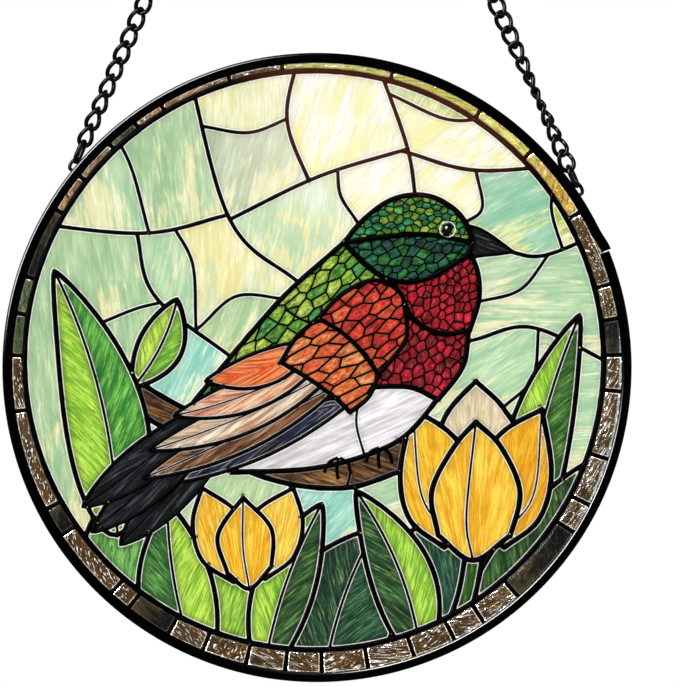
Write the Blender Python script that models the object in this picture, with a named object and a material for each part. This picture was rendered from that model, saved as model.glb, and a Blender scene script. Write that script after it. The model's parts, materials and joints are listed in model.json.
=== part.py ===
"""A round stained glass suncatcher: a leaded picture in a black channel ring, hung on a chain from one small ring.

Run it with blender --background --python part.py. Metres, +Z up, the picture faces -Y, and the origin is the
point inside the top of the hanging ring where the hook bears. The picture is drawn in millimetres from its own
centre, x to the right and z up, as shapes in a stack: a shape hides what lies behind it, lead runs wherever two
panes meet, and short cut lines divide what is still too large for one pane.
"""

import math

import bmesh
import bpy
import numpy as np
from mathutils import Vector
from mathutils.geometry import delaunay_2d_cdt

MM = 0.001

# The channel ring that frames the panel.
FRAME_RADIUS = 100.0
FRAME_FACE = 3.2
FRAME_DEPTH = 6.0
FRAME_WALL = 1.2
FRAME_STEPS = 48
SEAM_ANGLE = 21.9
SEAM_GAP = 0.35
SEAM_PROUD = 0.8
SHARP_FROM = math.radians(35)

# The panel: glass, and the lead that stands a little proud of it.
GLASS_THICKNESS = 3.0
LEAD_THICKNESS = 4.2
TOUCHING_GAP = 0.3
PANEL_RADIUS = 98.5

# The picture's circle sits a little up and to the left in the frame, so the border is narrow at the top.
PICTURE_CENTRE = (-1.5, 2.7)
PICTURE_RADIUS = 91.1
RIM_RADIUS = 92.8
RIM_STEPS = 48

# Half widths of the lead lines, and how closely the outlines are followed.
SKY_LEAD = 0.5
SHAPE_LEAD = 0.75
OUTLINE_STEP = 1.5
BLADE_STEP = 2.25
BLADE_FULLNESS = 0.8
OUTLINE_TOLERANCE = 0.4
SMALLEST_PANE = 14.0

# Insets: the sides of the polygon round a corner, the share of the distance that outlines may be off by, and
# the share of it at which a point counts as clear.
CORNER_STEPS = 12
CORNER_TOLERANCE = 0.25
CLEAR_SHARE = 0.99 * (1 - (math.pi / CORNER_STEPS) ** 2 / 2)
MERGE_DISTANCE = 1e-4

# The lead bars of the border, by angle round the frame.
BAR_WIDTH = 1.4
BAR_ANGLES = (
    177.7, 169.7, 162.6, 148.8, 141.1, 132.9, 126.7, 120.7, 106.9, 96.6, 75.6, 57.6, 45.3, 30.6, 15.9, 9.3,
    2.4, -4.5, -17.5, -26.8, -32.7, -48.7, -56.8, -63.2, -71.4, -80.3, -89.1, -96.0, -103.5, -112.0, -119.2,
    -128.1, -132.4, -146.7, -152.4, -171.7,
)

# The chain and what it hangs on.
HANG_HEIGHT = 244.0
HANG_RING_RADIUS = 5.6
HANG_RING_WIRE = 0.9
EYELET_ANGLES = {"left": 140.0, "right": 34.5}
EYELET_HALF_WIDTH = 2.1
EYELET_HEIGHT = 2.2
EYELET_WIRE = 0.5
EYELET_STEPS = 8
EYELET_FULLNESS = 0.7
LINK_LENGTH = 7.75
LINK_WIDTH = 5.0
LINK_WIRE = 0.6
LINK_PITCH = 5.6
LINK_SEGMENTS = 6
LINK_FULLNESS = 1.2
LINK_SECTION = 0.78
END_GAP = 0.1

# The disc's centre, below the point where the hook bears.
DISC_DROP = HANG_HEIGHT + HANG_RING_RADIUS - HANG_RING_WIRE

GLASS_COLOURS = {
    "wing_shoulder": (0.72, 0.06, 0.04), "wing_covert": (0.85, 0.22, 0.05), "wing_feather_1": (0.85, 0.22, 0.08),
    "wing_feather_2": (0.88, 0.42, 0.22), "wing_feather_3": (0.85, 0.60, 0.38), "wing_feather_4": (0.30, 0.15, 0.07),
    "wing_feather_5": (0.03, 0.04, 0.12), "crown": (0.05, 0.20, 0.06), "cheek": (0.03, 0.16, 0.10),
    "throat": (0.55, 0.01, 0.03), "beak": (0.03, 0.03, 0.03), "breast": (0.42, 0.01, 0.03),
    "belly": (0.90, 0.86, 0.86), "back": (0.12, 0.32, 0.06), "tail": (0.03, 0.03, 0.04),
    "tulip_stem": (0.06, 0.20, 0.03), "tulip": (0.90, 0.62, 0.10), "small_tulip": (0.92, 0.70, 0.18),
    "leaf": (0.22, 0.48, 0.08), "branch": (0.22, 0.11, 0.05), "sky": (0.68, 0.85, 0.66),
}


def smooth(points):
    """A Catmull-Rom curve through the points, sampled about every OUTLINE_STEP."""
    p = [np.array(q, float) for q in points]
    made = []
    for i in range(len(p) - 1):
        b, c = p[i], p[i + 1]
        a = p[i - 1] if i else 2 * b - c
        d = p[i + 2] if i + 2 < len(p) else 2 * c - b
        steps = max(2, round(float(np.linalg.norm(c - b)) / OUTLINE_STEP))
        for t in np.arange(steps) / steps:
            made.append(0.5 * (2 * b + (c - a) * t + (2 * a - 5 * b + 4 * c - d) * t**2
                               + (3 * b - a - 3 * c + d) * t**3))
    return [*made, p[-1]]


def outline(*strokes):
    """A closed outline from smooth strokes, each starting at a sharp corner where the last one ended."""
    made = []
    for stroke, following in zip(strokes, [*strokes[1:], strokes[0]]):
        made += smooth([*stroke, following[0]])[:-1]
    return made


def blade(base, tip, width, bend=0.0, fullest=0.45):
    """A leaf, petal or feather: a bent midrib, and a width that swells to its fullest and closes at both ends."""
    base, tip = np.array(base, float), np.array(tip, float)
    along = tip - base
    across = np.array([-along[1], along[0]]) / np.linalg.norm(along)
    steps = max(8, round(float(np.linalg.norm(along)) / BLADE_STEP))
    t = np.linspace(0, 1, steps + 1)[:, None]
    middle = base + along * t + across * bend * 4 * t * (1 - t)
    half = width / 2 * np.sin(math.pi * t ** (math.log(0.5) / math.log(fullest))) ** BLADE_FULLNESS
    left, right = middle + across * half, middle - across * half
    return [*left[:-1], *right[::-1][:-1]]


def circle(radius, steps):
    turn = np.linspace(0, 2 * math.pi, steps, endpoint=False)
    return [radius * np.array([math.cos(a), math.sin(a)]) for a in turn]


SHAPES = {
    # The folded wing, over the body.
    "wing_shoulder": outline([(30, 13), (28, 21), (20, 25), (10, 21), (2, 13)], [(2, 13), (10, 8), (17, 1), (21, -5)],
                             [(21, -5), (27, 2), (30, 7)]),
    "wing_covert": outline([(2, 13), (-5, 7), (-10, -1)], [(-10, -1), (0, -7), (8, -13), (12, -17)],
                           [(12, -17), (18, -12), (21, -5)], [(21, -5), (17, 1), (10, 8)]),
    "wing_feather_1": blade((2, 6), (-34, -7), 11, 2.5, 0.5),
    "wing_feather_2": blade((5, 2), (-44, -18), 11, 2.5, 0.5),
    "wing_feather_3": blade((8, -3), (-52, -29), 11, 2, 0.5),
    "wing_feather_4": blade((10, -7), (-54, -38), 11, 1, 0.5),
    "wing_feather_5": blade((14, -12), (-42, -39), 11, -1, 0.5),
    # The head and the body.
    "crown": outline([(51, 37), (49, 43), (44, 48.5), (36, 52), (26, 51), (17, 45), (10, 37)],
                     [(10, 37), (24, 39), (37, 39.5)]),
    "cheek": outline([(51, 37), (36, 42), (20, 41), (10, 37)], [(10, 37), (17, 30), (25, 25), (35, 25), (43, 29), (49, 33)]),
    "throat": outline([(49, 36), (52.5, 28), (53, 19), (50, 9)], [(50, 9), (41, 8), (33, 12), (29, 18), (24, 28)],
                      [(24, 28), (36, 33)]),
    "beak": outline([(46, 43), (54, 41), (64, 34)], [(64, 34), (56, 33), (46, 33)]),
    "breast": outline([(50, 12), (48, -2), (40, -13)], [(40, -13), (31, -9), (18, -9)], [(18, -9), (20, 4), (24, 28)],
                      [(24, 28), (34, 20)]),
    "belly": outline([(42, -10), (30, -24), (16, -31), (-2, -35), (-26, -36)], [(-26, -36), (-30, -26), (-20, -16)],
                     [(-20, -16), (10, -4), (30, -4)]),
    "back": outline([(10, 37), (-7, 22), (-18, 10), (-29, -3), (-38, -14)], [(-38, -14), (-28, -22), (-10, -14)],
                    [(-10, -14), (10, 6), (28, 14), (30, 26)], [(30, 26), (22, 36)]),
    "tail_upper": blade((-24, -8), (-73, -47), 12, 1, 0.6),
    "tail_middle": blade((-22, -14), (-70, -55), 12, 0, 0.6),
    "tail_lower": blade((-20, -20), (-61, -59), 12, -1, 0.6),
    # The tulips.
    "tulip_front": outline([(40, -56), (38, -42), (45, -28), (52, -20)], [(52, -20), (60, -28), (66, -42), (63, -56)],
                           [(63, -56), (51, -64)]),
    "tulip_left": outline([(42, -60), (31, -51), (28, -36), (32, -16)], [(32, -16), (42, -22), (50, -30)],
                          [(50, -30), (48, -52)]),
    "tulip_right": outline([(61, -60), (72, -51), (76, -36), (73, -16)], [(73, -16), (62, -22), (54, -30)],
                           [(54, -30), (54, -52)]),
    "tulip_back": outline([(38, -30), (43, -17), (52, -7)], [(52, -7), (61, -16), (67, -30)]),
    "small_tulip_front": outline([(-27, -68), (-30, -56), (-22, -44)], [(-22, -44), (-13, -54), (-13, -66)],
                                 [(-13, -66), (-20, -73)]),
    "small_tulip_left": outline([(-25, -71), (-35, -64), (-38, -52), (-35, -41)], [(-35, -41), (-27, -46), (-20, -52)],
                                [(-20, -52), (-20, -66)]),
    "small_tulip_right": outline([(-15, -70), (-6, -63), (-3, -52), (-6, -41)], [(-6, -41), (-15, -46), (-22, -52)],
                                 [(-22, -52), (-20, -66)]),
    # What grows behind them.
    "tulip_stem": outline([(49, -60), (46, -76), (38, -98)], [(43, -98), (51, -78), (54, -60)]),
    "leaf_1": blade((44, -112), (90, -32), 36, -4, 0.5),
    "leaf_2": blade((35, -98), (14, -42), 20, -4, 0.45),
    "leaf_3": blade((-16, -104), (3, -46), 19, 3, 0.5),
    "leaf_4": blade((-34, -104), (-46, -46), 24, 3, 0.5),
    "leaf_5": blade((-62, -56), (-82, 28), 26, -5, 0.38),
    "leaf_6": blade((-57, -9), (-43, 19), 14, -2, 0.5),
    "leaf_7": blade((66, -70), (85, 14), 20, 4, 0.45),
    "branch": outline([(-76, 7), (-60, -4), (-40, -16), (-10, -28), (8, -31), (30, -25), (50, -18), (56, -18)],
                      [(56, -18), (56, -26)],
                      [(56, -26), (30, -35), (10, -41), (-14, -38), (-40, -26), (-60, -14), (-76, -4)]),
    "leaf_8": blade((3, -108), (20, -54), 36, 3, 0.5),
    "leaf_9": blade((-22, -112), (-24, -58), 40, 0, 0.5),
    "leaf_10": blade((38, -114), (46, -46), 50, 0, 0.5),
    "leaf_11": blade((-42, -110), (-69, -50), 40, -2, 0.5),
}

SKY_CUTS = [
    [(33, 50), (30, 68), (20, 96)],
    [(62, 34.2), (74, 33), (96, 42)],
    [(29, 66), (52, 60), (84, 62)],
    [(-4, 24), (-26, 44), (-40, 94)],
    [(-26, 46), (-54, 40), (-96, 44)],
    [(-27, 44), (2, 58), (31, 67)],
    [(51, 6), (70, 10), (96, -2)],
    [(-25, 0), (-50, 20), (-56, 41)],
    [(0, 54), (-8, 76), (-4, 98)],
    [(-6, -44), (-8, -36)],
    [(14.5, -45), (13, -38)],
]


def inside(polygon, points):
    """Which points lie inside the polygon, by counting the edges to their right."""
    a = np.array(polygon)
    b = np.roll(a, -1, axis=0)
    x, z = points[:, :1], points[:, 1:]
    straddles = (a[:, 1] > z) != (b[:, 1] > z)
    rise = np.where(b[:, 1] == a[:, 1], 1.0, b[:, 1] - a[:, 1])
    crossing = a[:, 0] + (z - a[:, 1]) * (b[:, 0] - a[:, 0]) / rise
    return (straddles & (crossing > x)).sum(axis=1) % 2 == 1


def distance_to(loop, points):
    """How far each point is from the closed loop."""
    a = np.array(loop)
    along = np.roll(a, -1, axis=0) - a
    away = points[:, None] - a
    share = np.clip((away * along).sum(axis=2) / (along**2).sum(axis=1), 0, 1)
    return np.linalg.norm(away - share[:, :, None] * along, axis=2).min(axis=1)


def triangulate(lines):
    """A triangulation that keeps every line. Lines are (points, closed). Also says which line each edge is on."""
    points, edges, owner = [], [], []
    for index, (line, is_closed) in enumerate(lines):
        first = len(points)
        points += [Vector(p) for p in line]
        ends = range(len(line) if is_closed else len(line) - 1)
        edges += [(first + i, first + (i + 1) % len(line)) for i in ends]
        owner += [index for _ in ends]
    found = delaunay_2d_cdt(points, edges, [], 0, MERGE_DISTANCE)
    on_line = {frozenset(edge): {owner[i] for i in source} for edge, source in zip(found[1], found[4])}
    return np.array([tuple(p) for p in found[0]]), found[2], on_line


def loops_of(triangles):
    """The closed boundary loops of a set of triangles, as vertex numbers, with the inside on the left."""
    directed = {(t[i], t[(i + 1) % 3]) for t in triangles for i in range(3)}
    following = {}
    for a, b in sorted(directed):
        if (b, a) not in directed:
            following.setdefault(a, []).append(b)
    loops = []
    while following:
        start = min(following)
        loop, here = [start], following[start].pop()
        while here != start:
            loop.append(here)
            here = following[here].pop()
        following = {a: b for a, b in following.items() if b}
        loops.append(loop)
    return loops


def area(loop):
    a = np.array(loop)
    b = np.roll(a, -1, axis=0)
    return float((a[:, 0] * b[:, 1] - b[:, 0] * a[:, 1]).sum() / 2)


def simplify(loop, tolerance):
    """The loop with only the points that hold its shape within the tolerance."""
    p = np.array(loop)
    far = int(np.argmax(((p - p[0]) ** 2).sum(axis=1)))
    kept = {0, far}
    spans = [(0, far), (far, len(p))]
    while spans:
        first, last = spans.pop()
        if last - first < 2:
            continue
        a, b = p[first], p[last % len(p)]
        along = (b - a) / max(float(np.linalg.norm(b - a)), 1e-9)
        away = p[first + 1:last] - a
        distance = abs(along[0] * away[:, 1] - along[1] * away[:, 0])
        worst = int(np.argmax(distance))
        if distance[worst] > tolerance:
            kept.add(first + 1 + worst)
            spans += [(first, first + 1 + worst), (first + 1 + worst, last)]
    return [p[i] for i in sorted(kept)]


def inset(loop, distance):
    """The loops that stay this distance inside the given one, the largest first. A narrow neck makes several.

    A strip along every edge and a small polygon round every corner mark where the distance is reached.
    """
    p = np.array(loop)
    following = np.roll(p, -1, axis=0)
    along = (following - p) / np.linalg.norm(following - p, axis=1)[:, None]
    aside = distance * np.stack([-along[:, 1], along[:, 0]], axis=1)
    lines = [([a, b, b + c, a + c], True) for a, b, c in zip(p, following, aside)]
    lines += [([a + q for q in circle(distance, CORNER_STEPS)], True) for a in p]
    points, triangles, _ = triangulate(lines)
    middles = np.array([points[list(t)].mean(axis=0) for t in triangles])
    clear = inside(loop, middles) & (distance_to(loop, middles) > CLEAR_SHARE * distance)
    whole = [t for t, is_clear in zip(triangles, clear) if is_clear]
    found = [simplify([points[i] for i in line], distance * CORNER_TOLERANCE) for line in loops_of(whole)]
    return sorted(found, key=area, reverse=True)


def regions_of_shapes():
    """What shows of each shape past those before it, by name: one outline for each piece of it that hangs together."""
    names = [*SHAPES, "sky"]
    rim = circle(PICTURE_RADIUS, RIM_STEPS)
    lines = [*((points, True) for points in SHAPES.values()), (rim, True), *((smooth(cut), False) for cut in SKY_CUTS)]
    points, triangles, on_line = triangulate(lines)
    middles = np.array([points[list(t)].mean(axis=0) for t in triangles])
    label = np.full(len(triangles), len(names) - 1)
    for index in reversed(range(len(SHAPES))):
        label[inside(lines[index][0], middles)] = index
    label[~inside(rim, middles)] = -1
    beside = {}
    for number, t in enumerate(triangles):
        for i in range(3):
            beside.setdefault(frozenset((t[i], t[(i + 1) % 3])), []).append(number)
    regions = {name: [] for name in names}
    unseen = {i for i in range(len(triangles)) if label[i] >= 0}
    while unseen:
        waiting = [min(unseen)]
        unseen.discard(waiting[0])
        name = names[label[waiting[0]]]
        group = []
        while waiting:
            here = waiting.pop()
            group.append(triangles[here])
            for i in range(3):
                edge = frozenset((triangles[here][i], triangles[here][(i + 1) % 3]))
                if name == "sky" and any(line > len(SHAPES) for line in on_line[edge]):
                    continue
                joined = {other for other in beside[edge] if other in unseen and label[other] == label[here]}
                unseen -= joined
                waiting += joined
        regions[name].append(max(([points[i] for i in loop] for loop in loops_of(group)), key=area))
    return regions


def cut_panes():
    """Every pane by name, as (the opening in the lead, the pane's own outline)."""
    panes = {}
    for name, regions in regions_of_shapes().items():
        half_lead = SKY_LEAD if name == "sky" else SHAPE_LEAD
        found = []
        for region in regions:
            openings = inset(simplify(region, OUTLINE_TOLERANCE), half_lead)
            if openings and area(openings[0]) > SMALLEST_PANE:
                found.append((openings[0], inset(openings[0], TOUCHING_GAP)[0]))
        found.sort(key=lambda pane: -area(pane[1]))
        for number, pane in enumerate(found, 1):
            panes[name if len(found) == 1 else f"{name}_{number}"] = pane
    return panes


def frame_point(angle, radius):
    """A point of the frame's plane, in millimetres from the hanging point, at an angle in degrees."""
    turn = math.radians(angle)
    return Vector((radius * math.cos(turn), 0, radius * math.sin(turn) - DISC_DROP))


def make_material(name, colour, roughness, metallic=0.0, see_through=0.0):
    material = bpy.data.materials.new(name)
    material.use_nodes = True
    shader = material.node_tree.nodes["Principled BSDF"]
    shader.inputs["Base Color"].default_value = (*colour, 1)
    shader.inputs["Roughness"].default_value = roughness
    shader.inputs["Metallic"].default_value = metallic
    shader.inputs["Transmission Weight"].default_value = see_through
    return material


def add_object(name, data, material, collection):
    made = bpy.data.objects.new(name, data)
    made.data.materials.append(material)
    collection.objects.link(made)
    return made


def as_mesh(curve_object):
    """The curve object made a mesh object with its caps welded."""
    bpy.context.view_layer.update()
    evaluated = curve_object.evaluated_get(bpy.context.evaluated_depsgraph_get())
    mesh = bpy.data.meshes.new_from_object(evaluated)
    solid = bmesh.new()
    solid.from_mesh(mesh)
    bmesh.ops.remove_doubles(solid, verts=solid.verts, dist=1e-6)
    solid.to_mesh(mesh)
    solid.free()
    made = bpy.data.objects.new(curve_object.name + "_mesh", mesh)
    made.matrix_world = curve_object.matrix_world
    for collection in curve_object.users_collection:
        collection.objects.link(made)
    name = curve_object.name
    bpy.data.objects.remove(curve_object)
    made.name = name
    return made


def join_with(made, cutter):
    """Unions the cutter into the object, and leaves the cutter hidden."""
    union = made.modifiers.new("join", "BOOLEAN")
    union.operation = "UNION"
    union.solver = "EXACT"
    union.object = cutter
    cutter.hide_render = True
    cutter.display_type = "WIRE"


def flat_piece(name, loops, centre, thickness, material, collection):
    """A flat piece with the outline and holes of the loops, standing in the frame's plane."""
    curve = bpy.data.curves.new(name, "CURVE")
    curve.dimensions = "2D"
    curve.fill_mode = "BOTH"
    curve.extrude = thickness / 2 * MM
    for loop in loops:
        spline = curve.splines.new("POLY")
        spline.points.add(len(loop) - 1)
        for point, (x, z) in zip(spline.points, loop):
            point.co = (x * MM, z * MM, 0, 1)
        spline.use_cyclic_u = True
    made = add_object(name, curve, material, collection)
    made.location = (centre[0] * MM, 0, (centre[1] - DISC_DROP) * MM)
    made.rotation_euler = (math.pi / 2, 0, 0)
    return made


def make_eyelet(name, angle, material, collection):
    """A small loop of wire that stands on the rim."""
    turn = math.radians(angle)
    out, side = Vector((math.cos(turn), 0, math.sin(turn))), Vector((-math.sin(turn), 0, math.cos(turn)))
    foot = frame_point(angle, FRAME_RADIUS + TOUCHING_GAP)
    rise = EYELET_HEIGHT - TOUCHING_GAP
    curve = bpy.data.curves.new(name, "CURVE")
    curve.dimensions = "3D"
    curve.bevel_depth = EYELET_WIRE * MM
    curve.bevel_resolution = 1
    curve.use_fill_caps = True
    spline = curve.splines.new("POLY")
    spline.points.add(EYELET_STEPS)
    for step, point in enumerate(spline.points):
        bend = math.pi * step / EYELET_STEPS
        place = foot + side * EYELET_HALF_WIDTH * math.cos(bend) + out * rise * math.sin(bend) ** EYELET_FULLNESS
        point.co = (*(place * MM), 1)
    add_object(name, curve, material, collection)


def make_frame(material, collection):
    """The channel ring: a U section turned round the axis, open at the seam, with one end standing proud."""
    solid = bmesh.new()
    half, lip, wall = FRAME_DEPTH / 2, FRAME_RADIUS - FRAME_FACE, FRAME_RADIUS - FRAME_WALL
    slot = half - FRAME_WALL
    section = [(FRAME_RADIUS, -half), (FRAME_RADIUS, half), (lip, half), (lip, slot), (wall, slot), (wall, -slot),
               (lip, -slot), (lip, -half)]
    start = math.radians(SEAM_ANGLE) + SEAM_GAP / 2 / FRAME_RADIUS
    sweep = 2 * math.pi - SEAM_GAP / FRAME_RADIUS
    corners = [solid.verts.new((r * math.cos(start) * MM, y * MM, r * math.sin(start) * MM)) for r, y in section]
    end_cap = solid.faces.new(corners)
    bmesh.ops.spin(solid, geom=[end_cap], cent=(0, 0, 0), axis=(0, -1, 0), angle=sweep, steps=FRAME_STEPS,
                   use_duplicate=False)
    for vertex in solid.verts:
        turn = math.atan2(vertex.co.z, vertex.co.x)
        if 0 <= turn - start < 1e-3:
            radius = math.hypot(vertex.co.x, vertex.co.z)
            vertex.co.x *= 1 + SEAM_PROUD * MM / radius
            vertex.co.z *= 1 + SEAM_PROUD * MM / radius
    bmesh.ops.recalc_face_normals(solid, faces=solid.faces)
    mesh = bpy.data.meshes.new("frame_ring")
    solid.to_mesh(mesh)
    solid.free()
    mesh.shade_smooth()
    mesh.set_sharp_from_angle(angle=SHARP_FROM)
    made = add_object("frame_ring", mesh, material, collection)
    made.location.z = -DISC_DROP * MM


def border_inner_radius(angle):
    """How far from the frame's centre the border starts, because the picture's circle isn't centred in it."""
    turn = math.radians(angle)
    towards = PICTURE_CENTRE[0] * math.cos(turn) + PICTURE_CENTRE[1] * math.sin(turn)
    off_centre = PICTURE_CENTRE[0] ** 2 + PICTURE_CENTRE[1] ** 2
    return towards + math.sqrt((RIM_RADIUS + TOUCHING_GAP) ** 2 - off_centre + towards**2)


def make_border(material, collection, helpers):
    """The border tiles as one flat ring, with a lead bar standing proud wherever two tiles meet."""
    outer = circle(PANEL_RADIUS, RIM_STEPS)
    inner = [q + np.array(PICTURE_CENTRE) for q in circle(RIM_RADIUS + TOUCHING_GAP, RIM_STEPS)]
    ring = as_mesh(flat_piece("border_ring", [outer, inner], (0, 0), GLASS_THICKNESS, material, collection))
    bars = []
    for angle in BAR_ANGLES:
        first = border_inner_radius(angle) + TOUCHING_GAP
        last = FRAME_RADIUS - FRAME_FACE - TOUCHING_GAP
        if last - first < BAR_WIDTH / 2:
            continue
        turn = math.radians(angle)
        out, side = np.array([math.cos(turn), math.sin(turn)]), np.array([-math.sin(turn), math.cos(turn)])
        half = side * BAR_WIDTH / 2
        bars.append([out * first - half, out * last - half, out * last + half, out * first + half])
    join_with(ring, as_mesh(flat_piece("border_bars", bars, (0, 0), LEAD_THICKNESS, material, helpers)))


def chain_ends(side):
    """Where the middle of the wire is at a run's first crown, inside its eyelet, and at its last, inside the ring."""
    angle = EYELET_ANGLES[side]
    turn = math.radians(angle)
    along_rim = Vector((-math.sin(turn), 0, math.cos(turn)))
    upper = 1 if along_rim.z > 0 else -1
    inside_loop = EYELET_HALF_WIDTH - EYELET_WIRE - LINK_SECTION - END_GAP
    first = frame_point(angle, FRAME_RADIUS + (EYELET_HEIGHT - EYELET_WIRE) / 2) + along_rim * upper * inside_loop
    ring_centre = Vector((0, 0, HANG_HEIGHT - DISC_DROP))
    inside_ring = HANG_RING_RADIUS - HANG_RING_WIRE - LINK_SECTION - END_GAP
    return first, ring_centre + (first - ring_centre).normalized() * inside_ring


def chain_links(side):
    """Each link of a run as its closed wire: an oval, twisted a quarter turn from one crown to the other.

    The two at the ends are flat and edge on, and the run turns slowly by a quarter between them.
    """
    first, last = chain_ends(side)
    along = (last - first).normalized()
    across, depth = Vector((along.z, 0, -along.x)), Vector((0, 1, 0))
    half, half_width = LINK_LENGTH / 2 - LINK_WIRE, LINK_WIDTH / 2 - LINK_WIRE
    count = round(((last - first).length - 2 * half) / LINK_PITCH) + 1
    pitch = ((last - first).length - 2 * half) / (count - 1)
    links = []
    for number in range(count):
        middle = first + along * (half + number * pitch)
        at_an_end = number in (0, count - 1)
        lean = math.pi / 2 if at_an_end else math.pi / 2 * (0.5 - (number - 1) / (count - 3))
        half_twist = 0 if at_an_end else math.pi / 4
        link = []
        for step in range(LINK_SEGMENTS):
            turn = 2 * math.pi * (step + 0.5) / LINK_SEGMENTS
            reach = math.cos(turn) / math.cos(math.pi / LINK_SEGMENTS)
            twist = lean + half_twist * reach
            sideways = half_width * math.sin(turn) * LINK_FULLNESS
            link.append(middle + along * half * reach
                        + (across * math.cos(twist) + depth * math.sin(twist)) * sideways)
        links.append(link)
    return links


def links_mesh(name, links):
    """Links of three-sided wire, with an edge of the wire turned to the inside of its link."""
    points, faces = [], []
    for link in links:
        first = len(points)
        middle = sum(link, Vector()) / len(link)
        for step, place in enumerate(link):
            along = (link[(step + 1) % len(link)] - link[step - 1]).normalized()
            inward = (middle - place) - along * along.dot(middle - place)
            inward.normalize()
            aside = along.cross(inward)
            for x, z in circle(LINK_SECTION, 3):
                points.append((place + inward * x + aside * z) * MM)
        for step in range(len(link)):
            here, there = first + 3 * step, first + 3 * ((step + 1) % len(link))
            faces += [(here + i, here + (i + 1) % 3, there + (i + 1) % 3, there + i) for i in range(3)]
    mesh = bpy.data.meshes.new(name)
    mesh.from_pydata(points, [], faces)
    solid = bmesh.new()
    solid.from_mesh(mesh)
    bmesh.ops.recalc_face_normals(solid, faces=solid.faces)
    solid.to_mesh(mesh)
    solid.free()
    return mesh


def make_chain(side, material, collection, helpers):
    """One run of the chain. Every second link is in a helper, so that no link of a mesh meets another of it."""
    links = chain_links(side)
    name = "chain_" + side
    chain = add_object(name, links_mesh(name, links[::2]), material, collection)
    join_with(chain, add_object(name + "_between", links_mesh(name + "_between", links[1::2]), material, helpers))


def make_hang_ring(material, collection):
    bpy.ops.mesh.primitive_torus_add(major_segments=20, minor_segments=6, major_radius=HANG_RING_RADIUS * MM,
                                     minor_radius=HANG_RING_WIRE * MM, rotation=(math.pi / 2, 0, 0),
                                     location=(0, 0, (HANG_HEIGHT - DISC_DROP) * MM))
    ring = bpy.context.object
    ring.name = "hang_ring"
    ring.data.materials.append(material)
    ring.data.shade_smooth()
    for other in list(ring.users_collection):
        other.objects.unlink(ring)
    collection.objects.link(ring)


def glass_for(name, materials):
    """The glass that a pane is cut from, by the start of its name."""
    for start, material in materials.items():
        if name.startswith(start):
            return material
    raise KeyError(name)


def main():
    for old in list(bpy.data.objects):
        bpy.data.objects.remove(old)
    collection = bpy.data.collections.new("suncatcher")
    helpers = bpy.data.collections.new("helpers")
    for made in (collection, helpers):
        bpy.context.scene.collection.children.link(made)

    black_metal = make_material("black_metal", (0.015, 0.015, 0.017), 0.35, 0.6)
    lead = make_material("lead", (0.02, 0.018, 0.016), 0.4, 0.5)
    border_glass = make_material("border_glass", (0.20, 0.11, 0.05), 0.3, 0, 0.3)
    colours = {name: make_material(name + "_glass", colour, 0.25, 0, 0.6) for name, colour in GLASS_COLOURS.items()}

    make_frame(black_metal, collection)
    make_border(border_glass, collection, helpers)
    panes = cut_panes()
    rim = circle(RIM_RADIUS, RIM_STEPS)
    openings = [opening for opening, _ in panes.values()]
    flat_piece("lead_net", [rim, *openings], PICTURE_CENTRE, LEAD_THICKNESS, lead, collection)
    for name, (_, glass) in panes.items():
        flat_piece(name, [glass], PICTURE_CENTRE, GLASS_THICKNESS, glass_for(name, colours), collection)
    for side, angle in EYELET_ANGLES.items():
        make_eyelet("eyelet_" + side, angle, black_metal, collection)
        make_chain(side, black_metal, collection, helpers)
    make_hang_ring(black_metal, collection)


main()
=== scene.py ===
import json
import math

import bmesh
import bpy
import numpy as np
from mathutils import Matrix, Vector
from mathutils.geometry import delaunay_2d_cdt


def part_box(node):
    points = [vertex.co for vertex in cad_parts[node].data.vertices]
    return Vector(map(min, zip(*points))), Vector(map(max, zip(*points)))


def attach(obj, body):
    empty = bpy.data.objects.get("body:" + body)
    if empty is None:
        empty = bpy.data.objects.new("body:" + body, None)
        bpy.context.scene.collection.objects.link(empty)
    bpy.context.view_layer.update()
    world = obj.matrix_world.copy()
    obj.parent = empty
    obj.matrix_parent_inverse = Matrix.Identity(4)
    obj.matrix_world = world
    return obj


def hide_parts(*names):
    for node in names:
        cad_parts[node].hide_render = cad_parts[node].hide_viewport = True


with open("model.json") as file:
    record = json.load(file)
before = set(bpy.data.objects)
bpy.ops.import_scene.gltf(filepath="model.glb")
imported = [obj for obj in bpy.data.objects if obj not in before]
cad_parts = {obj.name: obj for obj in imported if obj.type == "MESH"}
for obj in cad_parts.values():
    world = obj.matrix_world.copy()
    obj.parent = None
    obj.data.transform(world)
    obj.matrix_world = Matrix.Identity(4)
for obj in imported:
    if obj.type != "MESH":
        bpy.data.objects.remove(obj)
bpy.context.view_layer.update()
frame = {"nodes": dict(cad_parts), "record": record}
print("frame loaded,", len(frame["nodes"]), "nodes")

mm = 0.001
ringLow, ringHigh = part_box("frame_ring")
discZ = (ringLow[2] + ringHigh[2]) / 2 / mm  # the disc's centre, in millimetres
netLow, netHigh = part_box("lead_net")
pictureX = (netLow[0] + netHigh[0]) / 2 / mm  # the picture's own centre is a little off the disc's
pictureZ = (netLow[2] + netHigh[2]) / 2 / mm
lineStep = 0.8  # how far apart the points of a drawn line are, in millimetres


# sRGB hex to linear light: a straight part near black, and a power of 2.4 above it
def tint(code):
    value = np.array([int(code[i:i + 2], 16) for i in (1, 3, 5)]) / 255
    return np.where(value < 0.04045, value / 12.92, ((value + 0.055) / 1.055) ** 2.4)


# each row divided by its own length
def unit(vectors):
    return vectors / np.maximum(np.linalg.norm(vectors, axis=1), 1e-9)[:, None]


# the way a line runs at each of its points: from the point before it to the point after it
def wayAlong(path, isClosed):
    if isClosed:
        return unit(np.roll(path, -1, axis=0) - np.roll(path, 1, axis=0))
    return unit(np.gradient(path, axis=0))


# ways in the plane, each turned a quarter to the left
def leftOf(ways):
    return np.stack([-ways[:, 1], ways[:, 0]], axis=1)


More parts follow.
